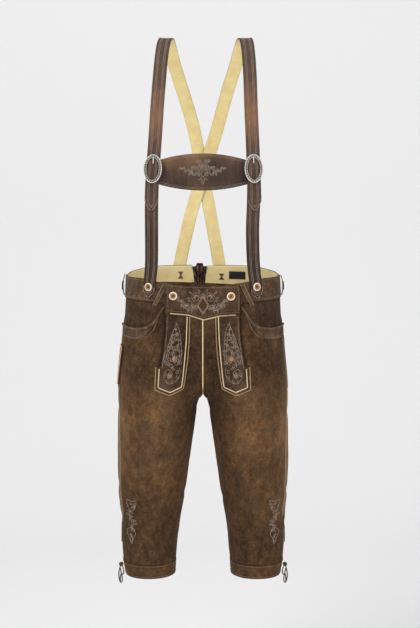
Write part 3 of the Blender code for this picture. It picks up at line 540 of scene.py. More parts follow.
def flipped(points: Flat, half: int) -> Flat:
    """The points on the wearer's left as given, or mirrored for the right."""
    return points if half > 0 else [(-x, *rest) for x, *rest in points]


# ---- the garment's own form ----
# Creases by half and by the face that they are on, in rows of distance across, height, slope,
# reach, width and depth.
CREASES: dict[tuple[int, str], Rows] = {
    (-1, "front"): (
        (60, -292, 0.55, 52, 7, -2.0), (66, -318, 0.75, 60, 9, -1.8),
        (82, -352, 0.85, 62, 11, 1.6), (100, -268, 0.35, 60, 8, -1.3),
        (140, -330, -0.5, 50, 12, -1.4), (120, -455, 0.25, 70, 14, 1.5),
        (95, -500, -0.35, 60, 10, -1.7), (150, -528, 0.3, 52, 9, -1.8),
        (112, -590, 0.12, 60, 9, -1.5), (100, -632, -0.1, 66, 9, 1.2),
    ),
    (1, "front"): (
        (58, -286, 0.5, 50, 7, -2.0), (70, -326, 0.7, 60, 9, -1.9), (84, -362, 0.9, 60, 11, 1.6),
        (104, -272, 0.3, 60, 8, -1.2), (143, -344, -0.45, 50, 12, -1.5),
        (118, -470, 0.2, 70, 14, 1.5), (98, -515, -0.3, 60, 10, -1.6),
        (152, -540, 0.35, 52, 9, -1.8), (110, -602, 0.15, 60, 9, -1.4),
        (102, -640, -0.12, 66, 9, 1.2),
    ),
    (-1, "back"): (
        (60, -285, -0.4, 60, 10, -2.4), (95, -312, -0.3, 70, 10, 1.8),
        (110, -470, 0.2, 80, 10, -3.0), (118, -496, -0.15, 80, 9, -2.6),
        (112, -522, 0.25, 78, 9, 2.0), (120, -548, 0.1, 76, 10, -2.4),
        (100, -150, 0.5, 60, 14, -1.6), (70, -205, 0.7, 60, 13, -1.8),
    ),
    (1, "back"): (
        (62, -292, -0.45, 60, 10, -2.4), (98, -320, -0.25, 70, 10, 1.8),
        (112, -480, 0.15, 80, 10, -3.0), (116, -507, -0.2, 80, 9, -2.6),
        (110, -530, 0.2, 78, 9, 2.0), (120, -560, 0.12, 76, 10, -2.2),
        (104, -160, 0.45, 60, 14, -1.6), (72, -215, 0.75, 60, 13, -1.8),
    ),
    (-1, "side"): (
        (0, -300, 0.5, 60, 12, -1.6), (10, -488, -0.4, 60, 10, -2.0),
        (-8, -560, 0.3, 56, 10, -1.8),
    ),
    (1, "side"): (
        (2, -312, 0.45, 60, 12, -1.6), (8, -500, -0.35, 60, 10, -2.0),
        (-6, -575, 0.3, 56, 10, -1.8),
    ),
    (-1, "inner"): (
        (0, -300, 0.6, 55, 9, -1.6), (0, -500, -0.4, 55, 10, -1.8),
    ),
    (1, "inner"): (
        (2, -306, 0.6, 55, 9, -1.6), (-2, -512, -0.35, 55, 10, -1.8),
    ),
}


@dataclass
class Form:
    """Soft creases of the trousers, and their worn places and painted light and shade, as fields
    in space.

    Attributes:
        worn_and_shaded_places: Rows of distance from the centre, height, the two radii and the
        tone added, for worn places, painted shade and a painted rim light.
        patched: Outer edge of the flap and of the tongues, from the top.
        leg_axis: Distance of a leg's axis from the centre plane at the fork, its gain to the
            hem, and the depth at which that starts and its span, in metres.
        fork: Height at which the torso splits into legs and its span, in metres.
        facing: How directly a skin faces a crease's side where the crease is full.
        swells: Scale and height of each layer of the hide's unevenness.
        hanging: Share of the unevenness where the hide is held, then height and span of where
            it starts to hang free and of where it ends at the hem, in metres.
        held: Share of a crease at the waist, height and span of where it fills out, in metres.
        cloudy: Scale and amount of the hide's large cloudy tones.
        edge_highlight_and_shadow: Painted highlight on the outer edge of the flap and tongues,
        where it starts and its width, then the tone taken off beside that edge as painted
        shadow, and its reach.
    """

    # Positive rows are mostly worn places, but the row at x 188 is a painted rim light down the
    # outer side; negative rows are painted shade, darker between the legs, on the inner thigh, at
    # the hips and above the hems.
    worn_and_shaded_places: Rows = (
        (112, -345, 54, 80, 0.19), (120, -450, 44, 70, 0.04), (92, -252, 40, 26, 0.12),
        (150, -200, 44, 50, -0.15), (28, -190, 30, 90, -0.26), (140, -90, 60, 34, -0.18),
        (165, -600, 40, 60, -0.09), (84, -600, 36, 70, -0.13), (120, -674, 60, 14, 0.10),
        (52, -330, 20, 60, -0.08), (188, -350, 26, 120, 0.30), (150, -160, 30, 40, 0.06),
    )
    patched: Flat = ((82, -12), (83.5, -73), (80.5, -77), (82, -114), (85, -142), (92, -190))
    leg_axis: tuple[float, ...] = (0.096, 0.026, 0.28, 0.41)
    fork: Pair = (-0.255, 0.075)
    facing: float = 0.45
    swells: Rows = ((11.0, 1.3), (27.0, 0.7))
    hanging: tuple[float, ...] = (0.35, -0.30, 0.12, -0.665, 0.05)
    held: Place = (0.25, -0.06, 0.08)
    cloudy: Pair = (8.0, 0.10)
    edge_highlight_and_shadow: tuple[float, ...] = (0.14, 6, 3, 0.34, 6)

    def axis_x(self, point: Vector) -> float:
        """Distance from the centre plane of the axis that the skin bends round.

        Args:
            point: A point of the skin.

        Returns:
            The distance in metres.
        """
        start, gain, under, over = self.leg_axis
        leg = start + gain * min(max((-point.z - under) / over, 0.0), 1.0)
        split = ease((self.fork[0] - point.z) / self.fork[1])
        return min(max(abs(point.x), leg * split), leg)

    def outward(self, point: Vector) -> Vector:
        """Level direction out of the torso or leg.

        Args:
            point: A point of the skin.

        Returns:
            The direction.
        """
        half = 1 if point.x >= 0 else -1
        away = Vector((point.x - half * self.axis_x(point), point.y, 0))
        return away.normalized() if away.length > 1e-6 else Vector((half, 0, 0))

    def depth(self, point: Vector) -> float:
        """How far creases and the hide's unevenness move a point outward.

        Args:
            point: A point of the skin.

        Returns:
            The distance in metres.
        """
        away = self.outward(point)
        half = 1 if point.x >= 0 else -1
        total = 0.0
        out = away.x * half
        for face, facing, place in (("front", -away.y, abs(point.x)),
                                    ("back", away.y, abs(point.x)),
                                    ("side", out, point.y), ("inner", -out, point.y)):
            weight = ease(facing / self.facing)
            for across, z, slope, reach, width, depth in CREASES[half, face] if weight else ():
                shift = place / MM - across
                off = (point.z / MM - z - slope * shift) / width
                if abs(shift) < reach and abs(off) < 3:
                    fade = (1 - (shift / reach) ** 2) ** 2
                    total += depth * MM * weight * math.exp(-off * off) * fade
        least, top, over_top, hem, over_hem = self.hanging
        free = ease((top - point.z) / over_top) * ease((point.z - hem) / over_hem)
        soft = sum(noise.noise(point * scale) * height for scale, height in self.swells)
        share, under, over = self.held
        return total * (share + (1 - share) * ease((under - point.z) / over)) + soft * MM * (
            least + (1 - least) * free)

    def tone(self, point: Vector) -> float:
        """Tone of the hide.

        Args:
            point: A point of the skin.

        Returns:
            The tone, 0.5 in the middle, higher where the hide is worn or light is painted, and
            lower where shade is painted.
        """
        away = self.outward(point)
        back = away.y > 0
        total = 0.0
        for x, z, across, up, amount in self.worn_and_shaded_places:
            if back and x < 40:
                continue
            far = ((abs(point.x) / MM - x) / across) ** 2 + ((point.z / MM - z) / up) ** 2
            total += amount * math.exp(-far)
        if not back:
            total += self.border(abs(point.x) / MM, point.z / MM)
        return 0.5 + total + noise.noise(point * self.cloudy[0]) * self.cloudy[1]

    def border(self, x: float, z: float) -> float:
        """Tone that the outer edge of the flap and tongues adds: a painted highlight on it, a
        painted shadow beside it.

        Args:
            x: Distance from the centre plane.
            z: Height.

        Returns:
            The tone to add.
        """
        edge_highlight, start, width, dark, reach = self.edge_highlight_and_shadow
        for (x0, z0), (x1, z1) in zip(self.patched, self.patched[1:]):
            if z1 <= z <= z0:
                off = x - x0 - (x1 - x0) * (z0 - z) / (z0 - z1)
                if off < 0:
                    # Painted highlight inside the edge; beyond it, a painted shadow on the hide.
                    return edge_highlight * ease((off + start) / width)
                return -dark * math.exp(-(off / reach) ** 2)
        return 0.0


FORM = Form()


# ---- pieces ----
MERGED = 0.02 * MM  # Points of a solid that are closer than this become one.
JOINED = {"angle_face_threshold": math.radians(35), "angle_shape_threshold": math.radians(60)}
SHARP_EDGE = 40.0  # Refining keeps an edge that bends more than this, in degrees,
SHARP_CORNER = 28.0  # and a corner at which such edges bend more than this.
FACES_IN = 0.45  # A face whose normal points this much towards the wearer is inside.
LINED = (-30.5, -37.0)  # Lower edge of the back band's lining, at x -80 and 80.


def placed(name: str, data: bpy.types.ID) -> Piece:
    """Adds an object that shows this mesh, curve, camera or light, and returns it."""
    made = bpy.data.objects.new(name, data)
    bpy.context.scene.collection.objects.link(made)
    return made


def paint(piece: Piece, tones: Sequence[float]) -> None:
    """Paints a tone on each point of a piece."""
    layer = piece.data.attributes.new(TONE, "FLOAT", "POINT")
    layer.data.foreach_set("value", list(tones))


def paint_hide(piece: Piece, shade: float) -> None:
    """Paints the trousers' own tone on a piece, with a shade added."""
    paint(piece, [FORM.tone(vertex.co) + shade for vertex in piece.data.vertices])


def enrol(piece: Piece, slot: Slot, *nodes: str) -> Piece:
    """Makes a piece ride on the garment.

    Args:
        piece: The finished piece.
        slot: The record's material slot; not used.
        nodes: CAD nodes that it stands for.

    Returns:
        The piece.
    """
    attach(piece, BODY)
    if nodes:
        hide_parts(*nodes)
    LOG.info("%s for %s", piece.name, ", ".join(nodes) or "trim")
    return piece


def piece_from(name: str, bm: bmesh.types.BMesh, finish: str) -> Piece:
    """Makes a smooth piece of a bmesh, which is used up.

    Args:
        name: Name of the piece.
        bm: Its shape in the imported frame.
        finish: Finish of its first material.

    Returns:
        The piece, at the origin.
    """
    for face in bm.faces:
        face.smooth = True
    mesh = bpy.data.meshes.new(name)
    bm.to_mesh(mesh)
    bm.free()
    mesh.materials.append(dyed(finish))
    return placed(name, mesh)


def evaluated(obj: Piece) -> bpy.types.Mesh:
    """New mesh of an object as its modifiers or its curve's bevel make it."""
    graph = bpy.context.evaluated_depsgraph_get()
    graph.update()
    return bpy.data.meshes.new_from_object(obj.evaluated_get(graph))


def settle(piece: Piece) -> Piece:
    """Applies a piece's modifiers.

    Args:
        piece: The piece.

    Returns:
        The same piece.
    """
    mesh = evaluated(piece)
    piece.modifiers.clear()
    piece.data = mesh
    return piece


def refine(piece: Piece, levels: int) -> Piece:
    """Splits a piece's faces, with its marked edges kept.

    Args:
        piece: The piece.
        levels: Times that they are split.

    Returns:
        The same piece.
    """
    step = piece.modifiers.new("refine", "SUBSURF")
    step.levels = levels
    step.render_levels = levels
    step.boundary_smooth = "PRESERVE_CORNERS"
    return settle(piece)


def tighten(bm: bmesh.types.BMesh) -> None:
    """Marks the sharp edges and corners of a solid, so that refining keeps them.

    Args:
        bm: The solid with its points merged.
    """
    layer = bm.edges.layers.float.new("crease_edge")
    corner = bm.verts.layers.float.new("crease_vert")
    for edge in bm.edges:
        if len(edge.link_faces) == 2 and math.degrees(edge.calc_face_angle()) > SHARP_EDGE:
            edge[layer] = 1.0
    for vertex in bm.verts:
        rim = [edge.other_vert(vertex).co - vertex.co for edge in vertex.link_edges
               if edge[layer] == 1.0]
        bends = [math.degrees(a.angle(-b, 0)) for i, a in enumerate(rim) for b in rim[:i]]
        if len(rim) > 1 and min(bends) > SHARP_CORNER:
            vertex[corner] = 1.0


def lining_edge(ends: Pair, x: float) -> float:
    """Height at x of the lining's edge, given those at x -80 and 80."""
    return ends[0] + (ends[1] - ends[0]) * (x + 80) / 160


@dataclass
class Shell:
    """Thin leather shell on the form of one solid, with creases, an inside and a tone.

    Attributes:
        node: The solid that it follows and stands for.
        name: Name of the piece.
        finish: Finish of the outside and the cut edges.
        inside: Finish of the inside.
        levels: Times that its faces are split.
        shade: Added to the tone all over.
        lined: Lower edge of the inside's finish, as heights at x -80 and 80.
        creased: False for a piece that keeps the solid's plain form.
        slot: The record's material slot of the piece, handed to enrol.
        grade: Tone at a point, in place of the trousers' own.
        inward: Direction towards the wearer at a point, in place of the trousers' own.
        move: How far a point moves, in place of the trousers' own creases.
    """

    node: str
    name: str
    finish: str = "leg"
    inside: str = "lining"
    levels: int = 2
    shade: float = 0.0
    lined: Pair = (-1000.0, -1000.0)
    creased: bool = True
    slot: Slot = Slot.SUEDE
    grade: Callable[[Vector], float] | None = None
    inward: Callable[[Vector], Vector] | None = None
    move: Callable[[Vector], Vector] | None = None

    def build(self) -> Piece:
        """Builds the piece.

        Returns:
            The finished piece.
        """
        bm = bmesh.new()
        bm.from_mesh(frame["nodes"][self.node].data)
        bmesh.ops.remove_doubles(bm, verts=bm.verts, dist=MERGED)
        bmesh.ops.join_triangles(bm, faces=bm.faces, **JOINED)
        tighten(bm)
        made = refine(piece_from(self.name, bm, self.finish), self.levels)
        self.dress(made)
        return enrol(made, self.slot, self.node)

    def dress(self, piece: Piece) -> None:
        """Creases the piece, paints its tone and gives its inside its own finish.

        Args:
            piece: The refined piece.
        """
        mesh = piece.data
        mesh.materials.append(dyed(self.inside))
        tones = []
        for vertex in mesh.vertices:
            point = vertex.co.copy()
            if self.move:
                vertex.co = point + self.move(point)
            elif self.creased:
                vertex.co = point + FORM.outward(point) * FORM.depth(point)
            tones.append((self.grade or FORM.tone)(point) + self.shade)
        mesh.update()
        for face in mesh.polygons:
            towards = self.inward(face.center) if self.inward else -FORM.outward(face.center)
            low = lining_edge(self.lined, min(max(face.center.x / MM, -80.0), 80.0))
            lined = face.normal.dot(towards) > FACES_IN and face.center.z > low * MM
            face.material_index = 1 if lined else 0
        paint(piece, tones)


class Drape:
    """Skin of finished pieces, on which thread, trim and patches are laid.

    Attributes:
        AHEAD: y in metres of a place ahead of the garment, from which rays start.
        FRONT: y about which the front of the garment stands.
        MIDDLE: Points behind this y aren't on the front.
        REACH: How far from the axis of a leg and of the torso rays start.
        MISSED: How far from the axis a point is where the ray passes by.
    """

    AHEAD = -0.4
    FRONT = -0.12
    MIDDLE = -0.02
    REACH = (0.13, 0.35)
    MISSED = 0.15

    def __init__(self, *pieces: Piece) -> None:
        """Reads meshes.

        Args:
            pieces: The finished pieces.
        """
        points, faces = [], []
        for piece in pieces:
            start = len(points)
            points += [vertex.co.copy() for vertex in piece.data.vertices]
            faces += [[start + i for i in face.vertices] for face in piece.data.polygons]
        self.tree = BVHTree.FromPolygons(points, faces)

    def shot(self, start: Vector, towards: Vector, lift: float) -> Vector | None:
        """Where a ray lands, lifted back along it by millimetres, or None where it passes by."""
        place = self.tree.ray_cast(start, towards)[0]
        return None if place is None else place - towards * (lift * MM)

    def front(self, x: float, z: float, lift: float) -> Vector:
        """Point on the front.

        Args:
            x: Place across.
            z: Height.
            lift: Distance off the skin.

        Returns:
            The point, or the nearest one of the skin where the ray passes by.
        """
        found = self.shot(Vector((x * MM, self.AHEAD, z * MM)), REARWARD, lift)
        if found is None or found.y > self.MIDDLE:
            near = self.tree.find_nearest(Vector((x * MM, self.FRONT, z * MM)))[0]
            return Vector((x * MM, near.y - lift * MM, z * MM))
        return found

    def ring(self, angle: float, z: float, axis_x: float, lift: float) -> Vector:
        """Point round the torso or a leg.

        Args:
            angle: Degrees from the front towards the wearer's left.
            z: Height.
            axis_x: Where the axis stands, in metres; 0 for the torso's.
            lift: Distance off the skin.

        Returns:
            The point.
        """
        away = Vector((math.sin(math.radians(angle)), -math.cos(math.radians(angle)), 0))
        axis = Vector((axis_x, 0, z * MM))
        found = self.shot(axis + away * self.REACH[0 if axis_x else 1], -away, lift)
        return found or axis + away * self.MISSED

    def close(self, point: Vector, lift: float = 0.0) -> Vector:
        """Nearest point of the skin, lifted along its normal by this many millimetres."""
        place, normal = self.tree.find_nearest(point)[:2]
        return place + normal * (lift * MM)


# ---- thread and cord ----
def tube(name: str, lines: Sequence[Line], radius: float, finish: str, sides: int = 1) -> Piece:
    """Round thread or piping along lines, as one mesh.

    Args:
        name: Name of the piece.
        lines: Points of each line in metres.
        radius: Radius.
        finish: Finish of the piece.
        sides: Bevel resolution of the round.

    Returns:
        The piece.
    """
    curve = bpy.data.curves.new(name, "CURVE")
    curve.dimensions = "3D"
    curve.bevel_depth = radius * MM
    curve.bevel_resolution = sides
    curve.use_fill_caps = True
    for line in lines:
        spline = curve.splines.new("POLY")
        spline.points.add(len(line) - 1)
        for point, place in zip(spline.points, line):
            point.co = (*place, 1)
    guide = placed(name, curve)
    mesh = evaluated(guide)
    bpy.data.objects.remove(guide)
    mesh.materials.clear()
    mesh.materials.append(dyed(finish))
    for face in mesh.polygons:
        face.use_smooth = True
    return placed(name, mesh)


def trim(name: str, lines: Sequence[Line], radius: float, finish: str, sides: int = 1,
         node: str = "") -> None:
    """Thread or piping that rides on the garment.

    Args:
        name: Name of the piece.
        lines: Points of each line in metres.
        radius: Radius.
        finish: Finish of the piece.
        sides: Bevel resolution of the round.
        node: CAD node that it stands for, if any.
    """
    enrol(tube(name, lines, radius, finish, sides), Slot.PIPING, *filter(None, (node,)))


@dataclass
class Sewing:
    """Rows of separate stitches that together are one piece.

    Attributes:
        name: Name of the piece.
        finish: Finish of the thread.
        stitch: Length of a stitch in metres.
        gap: Gap to the next one in metres.
        radius: Radius of the thread in metres.
        bm: All stitches so far.
    """

    name: str
    finish: str = "seam"
    stitch: float = 3.2 * MM
    gap: float = 1.0 * MM
    radius: float = 0.38 * MM
    bm: bmesh.types.BMesh = field(default_factory=bmesh.new)

    def dash(self, start: Vector, end: Vector) -> None:
        """Adds one stitch.

        Args:
            start: Where the thread comes up.
            end: Where it goes down.
        """
        along = end - start
        turn = along.to_track_quat("Z", "Y").to_matrix().to_4x4()
        place = Matrix.Translation((start + end) / 2) @ turn
        bmesh.ops.create_cone(self.bm, cap_ends=True, segments=6, radius1=self.radius,
                              radius2=self.radius, depth=along.length, matrix=place)

    def row(self, line: Line) -> None:
        """Sews a row.

        Args:
            line: Its points in metres.
        """
        pitch = self.stitch + self.gap
        steps = spread([tuple(point) for point in line], pitch)
        for a, b in zip(steps, steps[1:]):
            start, end = Vector(a), Vector(b)
            self.dash(start, start.lerp(end, self.stitch / pitch))

    def finish_off(self) -> Piece:
        """Makes the piece of all its stitches."""
        return enrol(piece_from(self.name, self.bm, self.finish), Slot.PIPING)


# ---- embroidery ----
@dataclass
class Ornament:
    """Embroidered ornament of stems, scrolls, leaves and blooms.

    Attributes:
        name: Name of the piece.
        place: Puts a point of the drawing on the leather.
        radius: Radius of the thread.
        paired: True where each shape is drawn with its mirror image.
        threads: Lines that have been drawn, by the finish of their thread.
    """

    name: str
    place: Callable[[float, float], Vector]
    radius: float = 0.4
    paired: bool = True
    threads: dict[str, list[Flat]] = field(default_factory=dict)

    def put(self, line: Flat, finish: str = "embroidery") -> None:
        """Keeps a line, and its mirror image where the ornament is paired.

        Args:
            line: Its points.
            finish: Finish of its thread.
        """
        kept = self.threads.setdefault(finish, [])
        kept.append(line)
        if self.paired:
            kept.append([(-x, z) for x, z in line])

    def stem(self, *knots: Pair, finish: str = "embroidery") -> None:
        """Smooth line through its knots, in a thread of this finish."""
        self.put(smooth(knots, 1.2), finish)

    def scroll(self, x: float, z: float, heading: float, size: float, side: int = 1,
               turns: float = 1.25, finish: str = "embroidery") -> None:
        """Spiral tendril.

        Args:
            x: Start across.
            z: Start height.
            heading: Direction in which it starts, in degrees.
            size: Radius of its outer turn.
            side: 1 where it curls to the left of its heading, -1 to the right.
            turns: Number of turns.
            finish: Finish of its thread.
        """
        ahead = turned(heading)
        middle = (x - ahead[1] * size * side, z + ahead[0] * size * side)
        first = math.atan2(z - middle[1], x - middle[0])
        steps = max(8, int(turns * 16))
        line = []
        for k in range(steps + 1):
            radius = size * (1 - 0.8 * (k / steps) ** 0.9)
            angle = first + side * math.tau * turns * k / steps
            line.append((middle[0] + radius * math.cos(angle),
                         middle[1] + radius * math.sin(angle)))
        self.put(line, finish)

    def leaf(self, x: float, z: float, heading: float, length: float, width: float = 0.0,
             finish: str = "embroidery") -> None:
        """Pointed leaf.

        Args:
            x: Its base across.
            z: Height of its base.
            heading: Direction in which it points, in degrees.
            length: Length.
            width: Width, or 0 for the usual share of the length.
            finish: Finish of its outline.
        """
        ahead = turned(heading)
        half = (width or 0.42 * length) / 2
        sides = []
        for side in (1, -1):
            sides.append([
                (x + ahead[0] * length * s - ahead[1] * side * half * bulge,
                 z + ahead[1] * length * s + ahead[0] * side * half * bulge)
                for s, bulge in ((k / 8, math.sin(math.pi * (k / 8) ** 0.8)) for k in range(9))
            ])
        self.put(sides[0] + sides[1][-2::-1], finish)

    def leaves(self, *rows: tuple[float, ...]) -> None:
        """Several leaves, each in a row of a leaf's own values."""
        for row in rows:
            self.leaf(*row)

    def bloom(self, x: float, z: float, radius: float, finish: str = "embroidery") -> None:
        """Small flower with a round eye and six petals.

        Args:
            x: Its middle across.
            z: Height of its middle.
            radius: Its radius.
            finish: Finish of its thread.
        """
        eye, petals = 0.24 * radius, 6
        turns = [math.tau * k / 8 for k in range(9)]
        self.put([(x + eye * math.cos(a), z + eye * math.sin(a)) for a in turns], finish)
        for k in range(petals):
            heading = 360 * k / petals + 90
            across, up = turned(heading)
            self.leaf(x + 1.2 * eye * across, z + 1.2 * eye * up, heading,
                      radius - 1.2 * eye, 0.55 * radius, finish)

    def vine(self, knots: Flat, sizes: Pair, pitch: float) -> None:
        """Stem with scrolls that curl off it by turns, each with leaves on its other side.

        Args:
            knots: Knots of the stem.
            sizes: Radius of the first and of the last scroll.
            pitch: Distance along the stem from one scroll to the next.
        """
        path = smooth(knots, 1.0)
        self.put(path)
        count = max(1, round(len(path) / pitch))
        for k in range(count):
            i = min(int((k + 0.35) / count * len(path)), len(path) - 2)
            (x, z), (x1, z1) = path[i], path[i + 1]
            heading = math.degrees(math.atan2(z1 - z, x1 - x))
            size = sizes[0] + (sizes[1] - sizes[0]) * k / max(count - 1, 1)
            side = 1 if k % 2 else -1
            self.scroll(x, z, heading + 6 * side, size, side, 1.15)
            self.leaf(x, z, heading - 38 * side, 2.1 * size)

    def sew(self) -> None:
        """Makes one piece of each kind of thread."""
        for finish, lines in self.threads.items():
            laid = [[self.place(x, z) for x, z in spread(line, 1.4)] for line in lines]
            trim(f"{self.name}_{finish}", laid, self.radius, finish)


def flap_ornament(art: Ornament) -> None:
    """Diamond between two large scrolls, and a leafy vine out to each button.

    Args:
        art: Ornament that it is drawn in.
    """
    art.put([(0, -73.5), (13.6, -54), (4, -37.5), (0, -32)], "rust")
    art.put([(0, -69.5), (10.6, -54), (2.6, -40), (0, -36.4)], "rust")
    art.scroll(3.4, -38, 98, 12.4, -1, 1.7)
    art.scroll(5.6, -39, 100, 9.8, -1, 0.75)
    art.scroll(19, -37, 30, 4.2, 1, 1.2, "rust")
    art.leaves((0.5, -37, 80, 11, 3.8), (7, -25, 66, 8, 3.4), (25, -28, 42, 8, 3.2),
               (28, -38, 4, 7.5, 3))
    art.vine([(14, -53), (20, -58), (30, -58), (40, -52), (49, -45), (56, -36)], (4.6, 3.0),
             8.0)
    art.vine([(14, -58), (24, -65), (34, -63), (43, -57), (50, -51)], (3.0, 2.4), 9.0)
    art.stem((22, -60), (27, -53), (24, -46), (29, -42))
    art.scroll(29, -42, 30, 2.8, -1)
    art.scroll(36, -54, 80, 3.0, -1)
    art.leaves((40, -52, 80, 6.5, 2.8), (48, -45, 95, 6, 2.6), (56, -37, 60, 6.5, 2.8))


def tongue_ornament(art: Ornament) -> None:
    """Leaning flame of vines over a round of scrolls.

    Args:
        art: Ornament that it is drawn in.
    """
    art.stem((0, -90), (8, -101), (14, -116), (18, -133), (21, -150), (22.5, -167),
             (20, -180), (10, -187))
    art.stem((1.5, -97), (-3, -110), (-8.5, -126), (-11.5, -142), (-16.5, -158), (-20, -173),
             (-21, -184), (-24, -192))
    art.vine([(-6, -190), (-3, -178), (5, -166), (1, -152), (-4, -140), (2, -128),
              (4, -116), (0.5, -102)], (5.6, 2.2), 10.5)
    art.vine([(-19, -184), (-14, -172), (-13, -160), (-7, -150), (-8, -138), (-4, -126),
              (-4, -113)], (4.4, 2.0), 12.0)
    art.vine([(16, -184), (18, -172), (17, -158), (14, -144), (11, -130), (7, -112)],
             (5.0, 2.6), 11.5)
    art.bloom(6, -172, 5.6, "rust")
    art.scroll(14, -178, 100, 5.0, 1, 1.3, "rust")
    art.leaves((-9, -172, 108, 13, 4.6), (9, -152, 84, 13, 4.4), (-4, -132, 100, 11, 3.8),
               (2, -106, 88, 13, 4.0))
    art.stem((17, -192), (19.5, -202), (17, -214), (9, -223), (-2, -228), (-12, -224),
             (-19, -214), (-19.5, -204), (-13, -196), (-5, -199))
    art.bloom(-5, -211, 7.0)
    art.scroll(-4, -199, -10, 6.6, -1, 1.3, "rust")
    art.scroll(10, -197, 20, 5.0, -1, 1.3)
    art.scroll(13, -209, 200, 5.0, 1, 1.2)
    art.scroll(-14, -222, 60, 4.4, -1, 1.2)
    art.leaves((-14, -203, 250, 11, 4.2), (2, -219, -80, 9, 4.0), (5, -196, 150, 9, 3.8))


def bar_ornament(art: Ornament) -> None:
    """Two crossing ribbons with a vine to each side and a drop below.

    Args:
        art: Ornament that it is drawn in.
    """
    for shift in (-3.2, 0.0, 3.2):
        art.stem((-12 + shift, 269), (-6 + shift, 259), (1 + shift, 249), (6 + shift, 240),
                 (6 + shift, 232))
    art.scroll(11, 268, 30, 3.6, -1, 1.2)
    art.scroll(8, 266, 120, 3.0, 1, 1.1)
    art.leaf(0, 253, 90, 10, 4)
    art.stem((0, 233), (4.2, 226), (0, 214), finish="rust")
    art.leaves((0, 219, 90, 8, 3.2), (4, 228, -40, 7, 3), (6, 234, 10, 6, 2.6))
    art.vine([(6, 245), (13, 252), (21, 249), (29, 243), (38, 246), (46, 250)], (4.6, 2.8), 6.4)
    art.vine([(7, 241), (15, 237), (24, 238), (32, 236)], (3.0, 2.4), 7.0)
    art.leaf(45, 249, 10, 7, 3)


def leg_ornament(art: Ornament) -> None:
    """Narrow upright chain of scrolls under a flat top.

    Args:
        art: Ornament that it is drawn in.
    """
    art.stem((-10.5, -504), (0, -506.5), (10.5, -504))
    art.stem((10.5, -504), (10.5, -514), (7, -524), (0, -531), (-7, -524), (-10.5, -514),
             (-10.5, -504))
    art.scroll(0, -526, 60, 5.4, 1, 1.4)
    art.scroll(1, -510, -20, 3.6, -1, 1.3)
    art.leaf(-5, -522, 100, 12, 4)
    art.vine([(0, -530), (6, -537), (3, -547), (-5, -554), (-5, -563), (1, -571)], (3.8, 3.6),
             8.0)
    art.stem((0, -569), (8, -574), (10.5, -583), (6, -593), (0, -609), (-4, -594),
             (-9, -585), (-7, -576), (0, -569))
    art.scroll(0, -572, -60, 5.0, -1, 1.3)
    art.leaves((0, -590, -92, 14, 4.4), (4, -585, -140, 8, 3))


